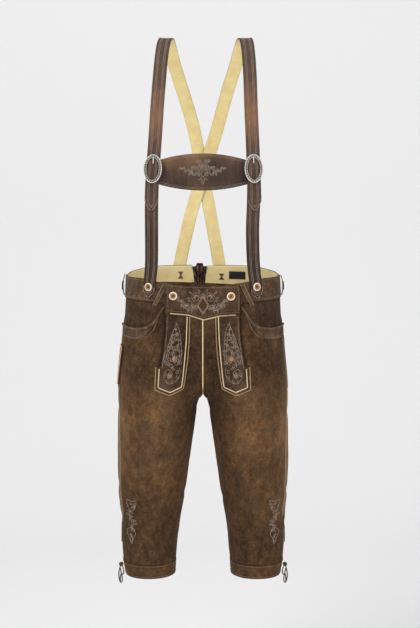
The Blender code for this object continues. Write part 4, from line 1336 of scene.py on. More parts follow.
# ---- trousers ----
@dataclass
class Trousers:
    """Leg panels, hip pieces, waistband and hem bands with their seams and trim.

    Attributes:
        mouth: Line of the pocket mouth on the wearer's left, seen from the front.
        band_bottom: Height of the waistband's lower edge.
        hem_top: Height of the hem band's upper edge.
        hem: Height of the hem.
        ribbon: Rows of height, and y of the front and rear edge of the ribbon down a side.
        sheath: Route of the piping round the knife pocket, y and z.
        double_from: Height under which the ribbon has its double row of stitches.
        shells: Node, name, finishes, levels, shade and lining of each side's shells.
        leg_x: Distance of a leg's axis from the centre plane at the hem, in metres.
        ornament_x: Distance of a leg's ornament from it.
        skin: Outer skin of the finished shells.
    """

    mouth: Flat = ((85, -56), (91, -65), (97, -74), (106, -89), (114, -97), (124, -104),
                   (138, -108), (152, -110.5), (165, -110.5), (174, -110))
    band_bottom: float = -48.0
    hem_top: float = -658.0
    hem: float = -690.0
    ribbon: Rows = (
        (-140, -4, 4), (-200, -7, 0), (-250, -11, -2), (-283, -20, -7), (-320, -34, -15),
        (-360, -42, -23), (-400, -45, -27), (-460, -46, -28), (-510, -43, -26), (-550, -39, -22),
    )
    sheath: Flat = ((-7, -160), (-7, -247), (-26, -248), (-34, -203), (-42, -160), (-8, -159))
    double_from: float = -275.0
    shells: tuple[tuple, ...] = (
        ("front_panel", "front_leg", "leg", "lining", 3),
        ("back_panel", "back_leg", "leg", "lining", 3),
        ("hip_yoke", "hip_piece", "trim", "lining", 2, -0.03),
        ("pocket_facing", "pocket_band", "trim", "lining", 2, 0.1),
        ("waistband_front", "band_front", "trim", "lit_band_inside", 2, 0.09),
        ("waistband_back", "band_back", "trim", "lit_band_inside", 3, 0.09, LINED),
        ("hem_band", "hem", "leg", "lining", 2, 0.02),
        ("side_welt", "side_seam", "leg", "lining", 2, -0.06),
    )
    leg_x: float = 0.1215
    ornament_x: float = 162.0
    skin: Drape | None = None

    def build(self) -> None:
        """Builds the shells, then the trim on them."""
        shells = []
        for side in SIDES:
            shells += [Shell(f"{node}_{side}", f"{name}_{side}", *rest).build()
                       for node, name, *rest in self.shells]
        shells.append(Shell("knife_pocket", "knife_sheath_pocket").build())
        self.skin = Drape(*shells)
        for side, half in SIDES.items():
            self.pocket_trim(side)
            self.side_trim(side)
            self.hem_trim(side)
            art = Ornament(f"leg_embroidery_{side}", lambda x, z, half=half: self.skin.front(
                half * (self.ornament_x + x), z, 0.15), 0.5, False)
            leg_ornament(art)
            art.sew()
        self.sheath_trim()
        self.band_trim()
        self.back_rim()

    def pocket_trim(self, side: str) -> None:
        """Rolled edge along a pocket's mouth, and the two rows that hold its band.

        Args:
            side: Wearer's side.
        """
        half = SIDES[side]
        rim = smooth(flipped(self.mouth, half), 3.0)
        line = [self.skin.front(x, z - 1.2, 0.2) for x, z in rim]
        line += [self.skin.ring(angle * half, -111.0, 0.0, 0.2) for angle in (80, 84, 88)]
        roll = tube(f"pocket_roll_{side}", [line], 2.4, "trim", 3)
        # The roll is painted paler than the hide: partly its own lighter colour, partly a painted
        # highlight along the mouth's lit upper edge.
        paint_hide(roll, 0.32)
        enrol(roll, Slot.SUEDE)
        rows = Sewing(f"pocket_stitches_{side}")
        for drop in (20.5, 23.5):
            rows.row([self.skin.front(x * (1 + 0.0006 * drop), z - drop * ease((abs(x) - 84) / 34),
                                      0.2) for x, z in rim[3:]])
        rows.finish_off()

    def side_trim(self, side: str) -> None:
        """Ribbon down a side between two lines of piping, with a double row lower down.

        Args:
            side: Wearer's side.
        """
        half = SIDES[side]
        edges = smooth(self.ribbon, 7.0)
        strip = bmesh.new()
        rows = [[strip.verts.new(self.beside(half, front + (rear - front) * k / 4, z, 0.35))
                 for k in range(5)] for z, front, rear in edges]
        for upper, lower in zip(rows, rows[1:]):
            for k in range(4):
                strip.faces.new((upper[k], upper[k + 1], lower[k + 1], lower[k]))
        bmesh.ops.recalc_face_normals(strip, faces=strip.faces)
        made = piece_from(f"side_ribbon_{side}", strip, "trim")
        paint_hide(made, -0.08)
        enrol(made, Slot.SUEDE)
        lines = [[self.beside(half, row[edge], row[0], 0.3) for row in edges] for edge in (1, 2)]
        trim(f"side_piping_{side}", lines, 0.8, "tan_piping", 2)
        rows = Sewing(f"side_stitches_{side}", "pale_thread")
        for share in (0.3, 0.7):
            rows.row([self.beside(half, front + (rear - front) * share, z, 0.6)
                      for z, front, rear in edges if z < self.double_from])
        rows.finish_off()

    def beside(self, half: int, y: float, z: float, lift: float) -> Vector:
        """Point on the outer side of a leg or hip, lifted off the skin."""
        start = Vector((half * Drape.REACH[1], y * MM, z * MM))
        found = self.skin.shot(start, Vector((-half, 0, 0)), lift)
        return found or self.skin.close(start, lift)

    def hem_trim(self, side: str) -> None:
        """Rows of stitches round a hem band.

        Args:
            side: Wearer's side.
        """
        rows = Sewing(f"hem_stitches_{side}")
        for z in (self.hem_top - 3.0, self.hem + 4.0):
            rows.row([self.skin.ring(angle * SIDES[side], z, self.leg_x * SIDES[side], 0.15)
                      for angle in range(94, 447, 3)])
        rows.finish_off()

    def sheath_trim(self) -> None:
        """Cream piping round the knife pocket."""
        line = [self.beside(-1, y, z, 0.1) for y, z in spread(self.sheath, 4.0)]
        trim("sheath_piping", [line], 1.2, "piping", 2)

    def band_trim(self) -> None:
        """Rows of stitches along the waistband's edges."""
        rows = Sewing("band_stitches")
        for z in (self.band_bottom + 3.0, self.band_bottom + 6.0):
            for half in SIDES.values():
                rows.row([self.skin.ring(angle * half, z, 0.0, 0.15)
                          for angle in range(44, 176, 2)])
        for side, half in SIDES.items():
            rows.row([self.skin.ring(4 * turn * half, top.z / MM - 4.0, 0.0, 0.15)
                      for turn, top in self.tops(side).items()])
        rows.finish_off()

    def back_rim(self) -> None:
        """Dark rolled edge on top of the back waistband, on both sides of the notch."""
        lines = [[top for turn, top in self.tops(side).items() if turn >= 25] for side in SIDES]
        rolled = tube("back_rim", lines, 0.8, "trim", 2)
        paint(rolled, [0.25] * len(rolled.data.vertices))
        enrol(rolled, Slot.SUEDE)

    @staticmethod
    def tops(side: str) -> dict[int, Vector]:
        """Highest points of a side's waistband.

        Args:
            side: Wearer's side.

        Returns:
            The points by their turn from the front, in steps of 4 degrees.
        """
        found: dict[int, Vector] = {}
        for part in ("front", "back"):
            for vertex in bpy.data.objects[f"band_{part}_{side}"].data.vertices:
                turn = round(math.degrees(math.atan2(SIDES[side] * vertex.co.x, -vertex.co.y)) / 4)
                if turn not in found or vertex.co.z > found[turn].z:
                    found[turn] = vertex.co.copy()
        return {turn: found[turn] for turn in sorted(found) if 12 <= turn <= 42}


# ---- flap and tongues ----
@dataclass
class Patch:
    """Leather patch between four edges, laid on the solid that it stands for.

    Attributes:
        name: Name of the piece.
        node: The solid that it follows and stands for.
        top: Upper edge, from the wearer's centre outward or from right to left.
        bottom: Lower edge, in the same direction.
        first: Edge that joins the starts of the upper and lower edge, from the top.
        last: Edge that joins their ends, from the top.
        thickness: In metres.
        cells: Number of faces across and down.
        shade: Added to the tone.
    """

    name: str
    node: str
    top: Flat
    bottom: Flat
    first: Flat
    last: Flat
    thickness: float
    cells: tuple[int, int] = (24, 40)
    shade: float = 0.0

    def spot(self, rims: Sequence[Line], s: float, t: float) -> Pair:
        """Point of the patch, from its four edges.

        Args:
            rims: Evenly spread points of the four edges.
            s: Share across.
            t: Share down.

        Returns:
            Its x and z.
        """
        edges = [at_share(line, share) for line, share in zip(rims, (s, s, t, t))]
        corners = (self.top[0], self.top[-1], self.bottom[0], self.bottom[-1])
        return tuple(
            (1 - t) * edges[0][k] + t * edges[1][k] + (1 - s) * edges[2][k] + s * edges[3][k]
            - (1 - s) * (1 - t) * corners[0][k] - s * (1 - t) * corners[1][k]
            - (1 - s) * t * corners[2][k] - s * t * corners[3][k]
            for k in (0, 1)
        )

    def build(self) -> Piece:
        """Builds the patch.

        Returns:
            The finished patch.
        """
        solid = bmesh.new()
        solid.from_mesh(frame["nodes"][self.node].data)
        tree = BVHTree.FromBMesh(solid)
        solid.free()
        low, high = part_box(self.node)
        middle = (low + high) / 2
        rims = [spread(line, 1.0) for line in (self.top, self.bottom, self.first, self.last)]
        bm = bmesh.new()
        bmesh.ops.create_grid(bm, x_segments=self.cells[0], y_segments=self.cells[1], size=0.5)
        for vertex in bm.verts:
            x, z = self.spot(rims, vertex.co.x + 0.5, 0.5 - vertex.co.y)
            aim = Vector((x * MM, Drape.AHEAD, z * MM))
            aim += Vector((middle.x - aim.x, 0, middle.z - aim.z)).normalized() * 3 * MM
            aim.z = min(max(aim.z, low.z + 2 * MM), high.z - 2 * MM)
            found = tree.ray_cast(aim, REARWARD)[0]
            found = found or tree.find_nearest(Vector((aim.x, low.y, aim.z)))[0]
            vertex.co = Vector((x * MM, found.y, z * MM))
            vertex.co += FORM.outward(vertex.co) * FORM.depth(vertex.co)
        bmesh.ops.recalc_face_normals(bm, faces=bm.faces)
        if sum(face.normal.y * face.calc_area() for face in bm.faces) > 0:
            bmesh.ops.reverse_faces(bm, faces=bm.faces)
        made = piece_from(self.name, bm, "trim")
        wall = made.modifiers.new("wall", "SOLIDIFY")
        wall.thickness = self.thickness
        wall.offset = -1
        edge = made.modifiers.new("edge", "BEVEL")
        edge.width = 0.5 * MM
        edge.segments = 2
        settle(made)
        paint_hide(made, self.shade)
        return enrol(made, Slot.SUEDE, self.node)


@dataclass
class Flap:
    """Front flap with its ornament, piping and seams, and the centre piping below it.

    Attributes:
        outline_top: Upper edge from right to left.
        outline_bottom: Lower edge from right to left.
        piping: Route of the piping along the lower edge.
        centre_top: Height at which the centre piping starts.
        fork: y and z of its last points, which turn in under the fork.
    """

    outline_top: Flat = ((-80, -8), (-40, -10), (0, -11.5), (40, -11), (83, -10))
    outline_bottom: Flat = ((-80, -69), (-72, -70), (-32, -73), (2, -84), (36, -75.5),
                            (72, -73.5), (84, -73))
    piping: Flat = ((-72, -71.9), (-32, -74.8), (2, -85.8), (36, -77.4), (73, -75.4))
    centre_top: float = -86.4
    fork: Flat = ((-78.5, -252), (-68, -258.5), (-56, -263))

    def build(self) -> None:
        """Builds the flap."""
        flap = Patch("front_flap", "front_bib", self.outline_top, self.outline_bottom,
                     ((-80, -8), (-80, -69)), ((83, -10), (84, -73)), 2.4 * MM, (48, 20),
                     -0.11).build()
        skin = Drape(flap)
        art = Ornament("flap_embroidery", lambda x, z: skin.front(x + 0.5, z, 0.15))
        flap_ornament(art)
        art.sew()
        line = [skin.front(x, z, -0.3) for x, z in spread(self.piping, 3.0)]
        trim("flap_piping", [line], 1.55, "piping", 3, "bib_piping")
        rows = Sewing("flap_stitches")
        rows.row([skin.front(x, z + 4.0, 0.1) for x, z in spread(self.outline_bottom, 4.0)])
        for x in (-77.0, 80.0):
            rows.row([skin.front(x, z, 0.1) for z in range(-13, -68, -4)])
        rows.row([skin.front(x, z - 3.0, 0.1) for x, z in spread(self.outline_top, 4.0)[1:-1]])
        rows.finish_off()

    def centre(self) -> None:
        """Piping down the centre seam into the fork."""
        low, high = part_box("centre_piping")
        solid = frame["nodes"]["centre_piping"].data
        line = []
        for z in spread([(high.z,), (low.z,)], 8 * MM):
            ahead = min((v.co for v in solid.vertices if abs(v.co.z - z[0]) < 14 * MM),
                        key=lambda co: co.y)
            line.append(Vector((0.0, ahead.y + 1.2 * MM, z[0])))
        line.insert(0, Vector((0.0, line[0].y, self.centre_top * MM)))
        line += [Vector((0, y, z)) * MM for y, z in self.fork]
        trim("centre_seam_piping", [line], 1.45, "piping", 3, "centre_piping")


@dataclass
class Tongue:
    """Two-layered embroidered tongue of one leg, each layer piped round its free end.

    Attributes:
        side: Wearer's side.
        inner: Inner edge of the upper layer on the wearer's left, from the top.
        outer: Its outer edge from the top.
        point: Its lower edge from the inner corner by the point to the outer corner.
        piped: Upper layer's piping from the inner top to the outer side.
        under_piped: The lower layer's piping.
        under_inner: The lower layer's inner edge from the top.
        under_outer: Its outer edge from the top.
        under_point: Its lower edge.
    """

    side: str
    inner: Flat = ((35.3, -78.5), (37.6, -134), (41.2, -176), (45.2, -215), (48.2, -235.3))
    outer: Flat = ((80, -76.5), (82, -114), (85, -142), (92, -190), (95.8, -195), (98, -236.3))
    point: Flat = ((48.2, -235.3), (73, -246.6), (98, -236.3))
    piped: Flat = ((34.6, -78.5), (36.9, -134), (40.4, -176), (44.4, -215), (47.3, -235.8),
                   (73, -247.8), (98.8, -236.8), (96.4, -195))
    under_piped: Flat = ((28.6, -79), (30.3, -134), (33.8, -176), (39.8, -219), (43.6, -240.6),
                         (74, -255.4), (106.3, -242.6), (103.9, -192))
    under_inner: Flat = ((29.4, -80), (31, -134), (34.5, -176), (40.4, -219), (44.3, -240))
    under_outer: Flat = ((83, -78), (85, -114), (88, -142), (94.6, -187), (103.2, -192),
                         (105.4, -242))
    under_point: Flat = ((44.3, -240), (74, -254.5), (105.4, -242))

    def build(self) -> None:
        """Builds both layers and their trim."""
        half = SIDES[self.side]
        below, above = (
            Drape(Patch(f"tongue_{layer}_layer_{self.side}", f"tongue_{node}_{self.side}",
                        *(flipped(line, half) for line in ((inner[0], outer[0]), point, inner,
                                                           outer)),
                        thick, (20, 40), shade).build())
            for layer, node, inner, outer, point, thick, shade in (
                ("lower", "under", self.under_inner, self.under_outer, self.under_point,
                 1.3 * MM, -0.14),
                ("upper", "top", self.inner, self.outer, self.point, 1.4 * MM, -0.12),
            ))
        for name, node, path, skin, finish, radius in (
            ("tongue_tan_piping", "tongue_under_piping", self.under_piped, below, "tan_piping",
             1.25),
            ("tongue_cream_piping", "tongue_top_piping", self.piped, above, "piping", 1.4),
        ):
            line = [skin.front(x, z, 0.0) for x, z in spread(flipped(path, half), 3.0)]
            trim(f"{name}_{self.side}", [line], radius, finish, 3, f"{node}_{self.side}")
        art = Ornament(f"tongue_embroidery_{self.side}", lambda x, z: above.front(
            half * (59 - (80 + z) * 0.105 - 0.92 * x - 4 * ease((-184 - z) / 12)), z,
            0.15), paired=False)
        tongue_ornament(art)
        art.sew()
        rows = Sewing(f"tongue_stitches_{self.side}")
        rows.row([above.front((x - 2.4) * half, z, 0.1) for x, z in spread(self.outer[:4], 4.0)])
        rows.finish_off()


# ---- braces ----
@dataclass
class Brace:
    """The two straps of one side, sewn along both edges, with the buckle between them.

    Attributes:
        side: Wearer's side.
        upper: Knots of the strap over the shoulder from its free end: x, y, z and roll.
        lower: Knots of the strap from the front waist to the buckle.
        rows: Distances of the stitch rows from the middle.
        half_width: Half width of a strap.
        slope: How fast a pointed end grows wide on each side.
        pitch: Distance along a strap from one frame to the next.
        away: How far off a strap's outer face rays start.
        behind: y in metres past which a strap has its back part's tone.
        tones: Tone of the back part, and of the front part without its warm places.
        bumps: Height and reach in metres, and tone, of each warm place.
        waist: Height and span in metres of where the tone falls to the waist, and by how much.
        oval: Half width and half height of the buckle.
        band: Section of its band, as growth in the oval's plane and lift off it.
        beads: Growth, pitch, radius, lift and tone of each ring of beads.
        prong: Length of the prong, and height of its root over the buckle's middle.
        buckle_z: Height of the buckle's middle.
    """

    side: str
    upper: Rows
    lower: Rows
    rows: tuple[float, ...] = (8.3, 5.3)
    half_width: float = 14.75
    slope: float = 1.135
    pitch: float = 5.0
    away: float = 25.0
    behind: float = 0.02
    tones: Pair = (0.38, 0.32)
    bumps: Rows = ((0.36, 0.075, 0.38), (0.17, 0.03, 0.08))
    waist: Place = (0.15, 0.1, 0.12)
    oval: Pair = (17.2, 27.7)
    band: Rows = ((-2.9, -1.4), (-2.9, 0.2), (-2.2, 0.5), (-0.9, 0.0), (0.9, 0.0), (2.2, 0.5),
                  (2.9, 0.2), (2.9, -1.4))
    beads: Rows = ((2.5, 1.75, 1.1, 0.55, 0.95), (-2.5, 3.4, 1.05, 0.55, 0.8),
                   (0.1, 5.2, 1.5, 0.15, 0.42))
    prong: Pair = (14.0, 25.6)
    buckle_z: float = 250.0

    def build(self) -> None:
        """Builds both straps and the buckle."""
        for part, knots in (("upper", self.upper), ("lower", self.lower)):
            strap = Shell(f"{part}_strap_{self.side}", f"brace_{part}_{self.side}", "strap",
                          "inside", creased=False, slot=Slot.STRAP, grade=self.grade,
                          inward=self.inward).build()
            self.sew(part, Drape(strap), self.frames(knots))
        self.buckle()

    def sew(self, part: str, skin: Drape,
            frames: Sequence[tuple[Vector, Vector, Vector]]) -> None:
        """Sews the rows that follow a strap's outline, and pales the rim of its front point.

        Args:
            part: "upper" or "lower".
            skin: Skin of the finished strap.
            frames: Points along the strap from its front point, evenly spaced.
        """
        last = self.pitch * (len(frames) - 1)

        def spot(s: float, off: float) -> Vector:
            """Point of the outer face.

            Args:
                s: Distance along the strap from its front point.
                off: Distance off its middle.

            Returns:
                The point, a little off the face.
            """
            i = min(int(s / self.pitch), len(frames) - 2)
            here, across, outward = (a.lerp(b, s / self.pitch - i)
                                     for a, b in zip(frames[i], frames[i + 1]))
            aim = here + across * off * MM + outward * self.away * MM
            found = skin.shot(aim, -outward, 0.1)
            return found or skin.close(aim - outward * (self.away - 4) * MM, 0.1)

        rows = Sewing(f"brace_{part}_stitches_{self.side}", "strap_thread", radius=0.5 * MM)
        for off in self.rows:
            inset = (self.half_width - off) * 1.2
            bend = inset + off / self.slope
            stop = last - (bend if part == "upper" else 4)
            for side in (1, -1):
                route = [(inset, 0.0), (bend, off)]
                route += [(float(s), off)
                          for s in range(int(bend) + 5, int(stop), int(self.pitch))]
                if part == "upper":
                    route += [(stop, off), (last - inset, 0.0)]
                rows.row([spot(s, side * wide) for s, wide in spread(route, 4.0)])
        rows.finish_off()
        rim = [(1.6, 1.2), (self.half_width / self.slope, self.half_width - 1.3),
               (26, self.half_width - 1.3)]
        lines = [[spot(s, side * wide) for s, wide in spread(rim, 2.0)] for side in (1, -1)]
        trim(f"brace_{part}_rim_{self.side}", lines, 0.75, "strap_thread")

    def grade(self, point: Vector) -> float:
        """Tone of a strap: warm under the shoulder and dark at the waist.

        Args:
            point: A point of the strap.

        Returns:
            The tone.
        """
        if point.y > self.behind:
            return self.tones[0]
        warm = sum((tone * math.exp(-((point.z - z) / reach) ** 2)
                    for z, reach, tone in self.bumps), self.tones[1])
        top, over, fall = self.waist
        return warm - fall * ease((top - point.z) / over)

    @staticmethod
    def inward(point: Vector, shoulder: float = 0.3) -> Vector:
        """Direction towards the wearer, whose shoulders are at this height or higher."""
        return (Vector((point.x, 0, min(point.z, shoulder))) - point).normalized()

    def frames(self, knots: Rows) -> list[tuple[Vector, Vector, Vector]]:
        """Points along a strap.

        Args:
            knots: Its knots: x, y, z and roll.

        Returns:
            Each point, with the directions of the strap's width and of its outer face.
        """
        line = smooth(knots, self.pitch)
        found = []
        for i, row in enumerate(line):
            ahead = Vector(line[min(i + 1, len(line) - 1)][:3])
            along = (ahead - Vector(line[max(i - 1, 0)][:3])).normalized()
            outward = Vector((1, 0, 0)).cross(along).normalized()
            across = along.cross(outward).normalized()
            roll = math.radians(row[3])
            found.append((Vector(row[:3]) * MM,
                          across * math.cos(roll) + outward * math.sin(roll),
                          outward * math.cos(roll) - across * math.sin(roll)))
        return found

    def buckle(self) -> None:
        """Oval ring with a dished band, a rope edge and beads, and its prong."""
        front = [row for row in self.frames(self.upper) if row[0].y < 0]
        _, across, outward = min(front, key=lambda row: abs(row[0].z / MM - self.buckle_z))
        up = outward.cross(across).normalized()
        up = up if up.z > 0 else -up
        low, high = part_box(f"buckle_{self.side}")
        middle = (low + high) / 2
        bm = bmesh.new()
        tones: list[float] = []

        def oval(angle: float, grow: float, lift: float) -> Vector:
            """Point of the oval, grown in its plane and lifted off it by millimetres."""
            wide, tall = self.oval
            return middle + across * (wide + grow) * MM * math.cos(angle) + up * (
                tall + grow) * MM * math.sin(angle) + outward * lift * MM

        turns = [math.tau * k / 96 for k in range(97)]
        rows = [[bm.verts.new(oval(a, grow, lift)) for grow, lift in self.band]
                for a in turns[:-1]]
        for one, two in zip(rows, rows[1:] + rows[:1]):
            for k in range(len(self.band)):
                j = (k + 1) % len(self.band)
                bm.faces.new((one[k], one[j], two[j], two[k]))
        bmesh.ops.recalc_face_normals(bm, faces=bm.faces)
        tones += [0.2] * len(bm.verts)
        for grow, pitch, radius, lift, tone in self.beads:
            line = spread([tuple(oval(a, grow, lift)) for a in turns], pitch * MM)[:-1]
            for bead in line:
                bmesh.ops.create_uvsphere(bm, u_segments=10, v_segments=6, radius=radius * MM,
                                          matrix=Matrix.Translation(bead))
            tones += [tone] * (len(bm.verts) - len(tones))
        made = piece_from(f"buckle_ring_{self.side}", bm, "silver")
        paint(made, tones)
        enrol(made, Slot.SILVER, f"buckle_{self.side}")
        length, root = self.prong
        top = middle + up * root * MM
        line = [top, top - up * (length / 2) * MM + outward * 0.2 * MM, top - up * length * MM]
        prong = tube(f"prong_{self.side}", [line], 1.25, "silver", 3)
        paint(prong, [0.9] * len(prong.data.vertices))
        enrol(prong, Slot.SILVER, f"buckle_prong_{self.side}")


BRACES = (
    Brace("right",
          ((-112.5, -136.5, 156, 12), (-111.5, -138.3, 200, 11), (-108.3, -138.3, 250, 10),
           (-103, -130, 322, 8), (-99.3, -116, 382, 5), (-95, -92, 440, 3), (-91, -63, 488, 1),
           (-87, -32, 518, 0), (-82, 2, 531, 0), (-76, 33, 519, 0), (-67, 64, 478, 0),
           (-52, 93, 428, 0), (-35, 115, 373, 0), (-20, 128, 317, 0), (-1, 136, 216, 0),
           (12.6, 137.5, 149, 0), (22.5, 136.5, 93, 0), (32.6, 133, 38, 0),
           (39.5, 128.5, -3, 0), (45, 132, -34, 0)),
          ((-119, -98, -40, 20), (-117, -99, -9, 20), (-113.2, -112, 36, 20),
           (-112.2, -127, 110, 15), (-112, -133, 165, 12), (-110.5, -134.6, 215, 11),
           (-108.3, -134.4, 250, 10), (-106.2, -132, 280, 9))),
    Brace("left",
          ((114.5, -136.5, 156, -12), (113, -138.3, 200, -11), (111, -138.3, 250, -10),
           (108, -130, 322, -8), (105.5, -116, 382, -5), (104, -92, 440, -3),
           (101.5, -63, 488, -1), (98.5, -32, 518, 0), (94.5, 2, 531, 0), (87.5, 33, 519, 0),
           (77, 64, 478, 0), (61.5, 91, 428, 0), (46, 111, 373, 0), (31, 123, 317, 0),
           (-0.5, 131.8, 216, 0), (-21.7, 134, 149, 0), (-36, 134, 93, 0),
           (-48.3, 131.5, 38, 0), (-56, 127, -3, 0), (-62, 130, -34, 0)),
          ((120, -98, -43, -20), (117, -99, -11, -20), (112, -113, 36, -20),
           (109.3, -127.2, 110, -15), (111, -133, 165, -12), (112, -134.6, 215, -11),
           (111, -134.4, 250, -10), (109.5, -132, 280, -9))),
)


@dataclass
class ChestBar:
    """Embroidered bar across the chest.

    Attributes:
        half: Half of the width that shows.
        top: Height of the upper edge in the middle.
        bottom: Height of the lower edge there.
        top_fall: Drop of the upper edge at the ends.
        bottom_rise: Rise of the lower edge at the ends.
        ends: How far its rows of stitches go to each side.
    """

    half: float = 93.0
    top: float = 282.0
    bottom: float = 201.0
    top_fall: float = 14.0
    bottom_rise: float = 12.0
    ends: int = 112

    def build(self) -> None:
        """Builds the bar, its edge rows and its ornament."""
        bar = Shell("chest_bar", "embroidered_bar", "strap", "inside", levels=3, creased=False,
                    slot=Slot.STRAP, grade=self.grade, inward=lambda p: REARWARD).build()
        skin = Drape(bar)
        art = Ornament("bar_embroidery", lambda x, z: skin.front(x + 0.5, z, 0.1))
        bar_ornament(art)
        art.sew()
        rows = Sewing("bar_stitches", "strap_thread")
        for inset in (3.0, 6.0):
            for start, bend, side in ((self.top - inset, -self.top_fall, 1),
                                      (self.bottom + inset, self.bottom_rise, -1)):
                rows.row([skin.front(x, start + bend * (x / self.half) ** 2, 0.1)
                          for x in range(-self.ends, self.ends + 1, 4)])
        rows.finish_off()

    @staticmethod
    def grade(point: Vector) -> float:
        """Tone of the bar: cloudy, paler towards the wearer's right, and paler on top from a
        redder top and a painted highlight.
        """
        return 0.22 + 0.3 * ease((point.z - 0.215) / 0.06) + 0.3 * noise.noise(
            point * 22) - 1.5 * point.x


# ---- small hard pieces ----
@dataclass
class Button:
    """Four-hole button with a pale rim and a sunk brown middle, sewn on with a crossed thread.

    Attributes:
        node: The solid that it stands for.
        name: Name of the piece.
        profile: Rows of radius, height over its seat and tone, from the middle of its face over
            the rim to the middle of its underside.
        hole: Distance of a hole from the middle, and the hole's radius.
        sewn: Lowest and highest place of its thread over its seat.
    """

    node: str
    name: str
    profile: Rows = (
        (0, 2.3, 0.2), (3.2, 2.35, 0.24), (4.8, 2.6, 0.34), (5.9, 3.5, 0.44), (7.0, 4.15, 0.58),
        (8.0, 4.1, 0.86), (8.8, 3.5, 0.9), (9.3, 2.5, 0.8), (9.1, 1.5, 0.6), (8.2, 0.7, 0.5),
        (5.4, 0.05, 0.4), (0, 0.05, 0.3),
    )
    hole: Pair = (1.9, 0.75)
    sewn: Pair = (0.6, 2.75)

    def build(self) -> None:
        """Builds the button and its thread."""
        seat, axis = self.seat()
        turn = axis.to_track_quat("Z", "Y").to_matrix().to_4x4()
        place = Matrix.Translation(seat) @ turn
        bm = bmesh.new()
        verts = [bm.verts.new((r * MM, 0, h * MM)) for r, h, _ in self.profile]
        edges = [bm.edges.new(pair) for pair in zip(verts, verts[1:])]
        bmesh.ops.spin(bm, geom=verts + edges, axis=(0, 0, 1), cent=(0, 0, 0), steps=40,
                       angle=math.tau, use_merge=True)
        bmesh.ops.remove_doubles(bm, verts=bm.verts, dist=0.01 * MM)
        bmesh.ops.recalc_face_normals(bm, faces=bm.faces)
        disc = piece_from(self.name, bm, "horn")
        cutter = bmesh.new()
        off, radius = (value * MM for value in self.hole)
        spots = [(off * math.cos(a), off * math.sin(a))
                 for a in (math.radians(45 + 90 * k) for k in range(4))]
        for x, y in spots:
            bmesh.ops.create_cone(cutter, cap_ends=True, segments=12, radius1=radius,
                                  radius2=radius, depth=12 * MM,
                                  matrix=Matrix.Translation((x, y, 2 * MM)))
        drill = piece_from("drill", cutter, "horn")
        cut = disc.modifiers.new("holes", "BOOLEAN")
        cut.operation = "DIFFERENCE"
        cut.object = drill
        settle(disc)
        bpy.data.objects.remove(drill)
        paint(disc, [self.tone(vertex.co) for vertex in disc.data.vertices])
        disc.data.transform(place)
        enrol(disc, Slot.HORN, self.node)
        low, high = (value * MM for value in self.sewn)
        cross = [[place @ Vector((x * way, y * way, z))
                  for way, z in ((1, low), (1, high), (-1, high), (-1, low))]
                 for x, y in spots[:2]]
        trim(f"{self.name}_thread", cross, 0.42, "brown_thread", 2)

    def tone(self, point: Vector) -> float:
        """Tone by the distance from the middle, on the face or on the underside.

        Args:
            point: A point of the button, before it is put in place.

        Returns:
            The tone.
        """
        radius = math.hypot(point.x, point.y) / MM
        rows = self.profile[:8] if point.z > 1.6 * MM else self.profile[:7:-1]
        for (r0, _, t0), (r1, _, t1) in zip(rows, rows[1:]):
            if radius <= r1:
                return t0 + (t1 - t0) * (radius - r0) / max(r1 - r0, 1e-6)
        return rows[-1][2]

    def seat(self) -> tuple[Vector, Vector]:
        """Where the solid sits.

        Returns:
            Middle of its flat underside, and the direction that this faces away from.
        """
        areas: dict[tuple[float, ...], float] = {}
        mesh = frame["nodes"][self.node].data
        for face in mesh.polygons:
            key = tuple(round(value, 2) for value in face.normal)
            areas[key] = areas.get(key, 0) + face.area
        axis = -Vector(max(areas, key=areas.get)).normalized()
        low = min(vertex.co.dot(axis) for vertex in mesh.vertices)
        under = [v.co for v in mesh.vertices if v.co.dot(axis) < low + 0.05 * MM]
        return sum(under, Vector()) / len(under), axis


@dataclass
class Loop:
    """Belt loop with a rim along both edges, sewn in front and rolled and dark at a side.

    Attributes:
        node: The solid that it stands for.
        half: 1 for the wearer's left, -1 for the right.
        top: x and z of its upper end on the wearer's left, at the front.
        bottom: x and z of its lower end.
        width: In millimetres.
        shade: Added to its tone.
        reach: Share by which its lower end hangs on below its seam.
    """

    node: str
    half: int
    top: Pair
    bottom: Pair
    width: float
    shade: float = 0.0
    reach: float = 0.0

    def build(self) -> None:
        """Builds the loop."""
        strip = Shell(self.node, f"belt_{self.node}", "loop", "loop", levels=3, creased=False,
                      shade=self.shade, move=self.hang).build()
        skin = Drape(strip)
        last = tuple(b + (b - a) * self.reach for a, b in zip(self.top, self.bottom))
        path = spread([self.top, last], 2.0)
        lines = []
        in_front = self.node.startswith("front")
        for off in (-self.width / 2 + 0.6, self.width / 2 - 0.6):
            if in_front:
                lines.append([skin.front((x + off) * self.half, z, 0.0) for x, z in path])
            else:
                lines.append([skin.close(Vector((self.half * 0.3, off * MM, z * MM)))
                              for _, z in path])
        trim(f"belt_{self.node}_rims", lines, *((0.6, "seam") if in_front else (1.9, "lace", 2)))

    def hang(self, point: Vector) -> Vector:
        """Way that the reach moves a point of the loop: down and along its slope."""
        drop = max(self.top[1] * MM - point.z, 0.0) * self.reach
        slope = (self.bottom[0] - self.top[0]) / (self.top[1] - self.bottom[1])
        return Vector((self.half * slope * drop, 0, -drop))


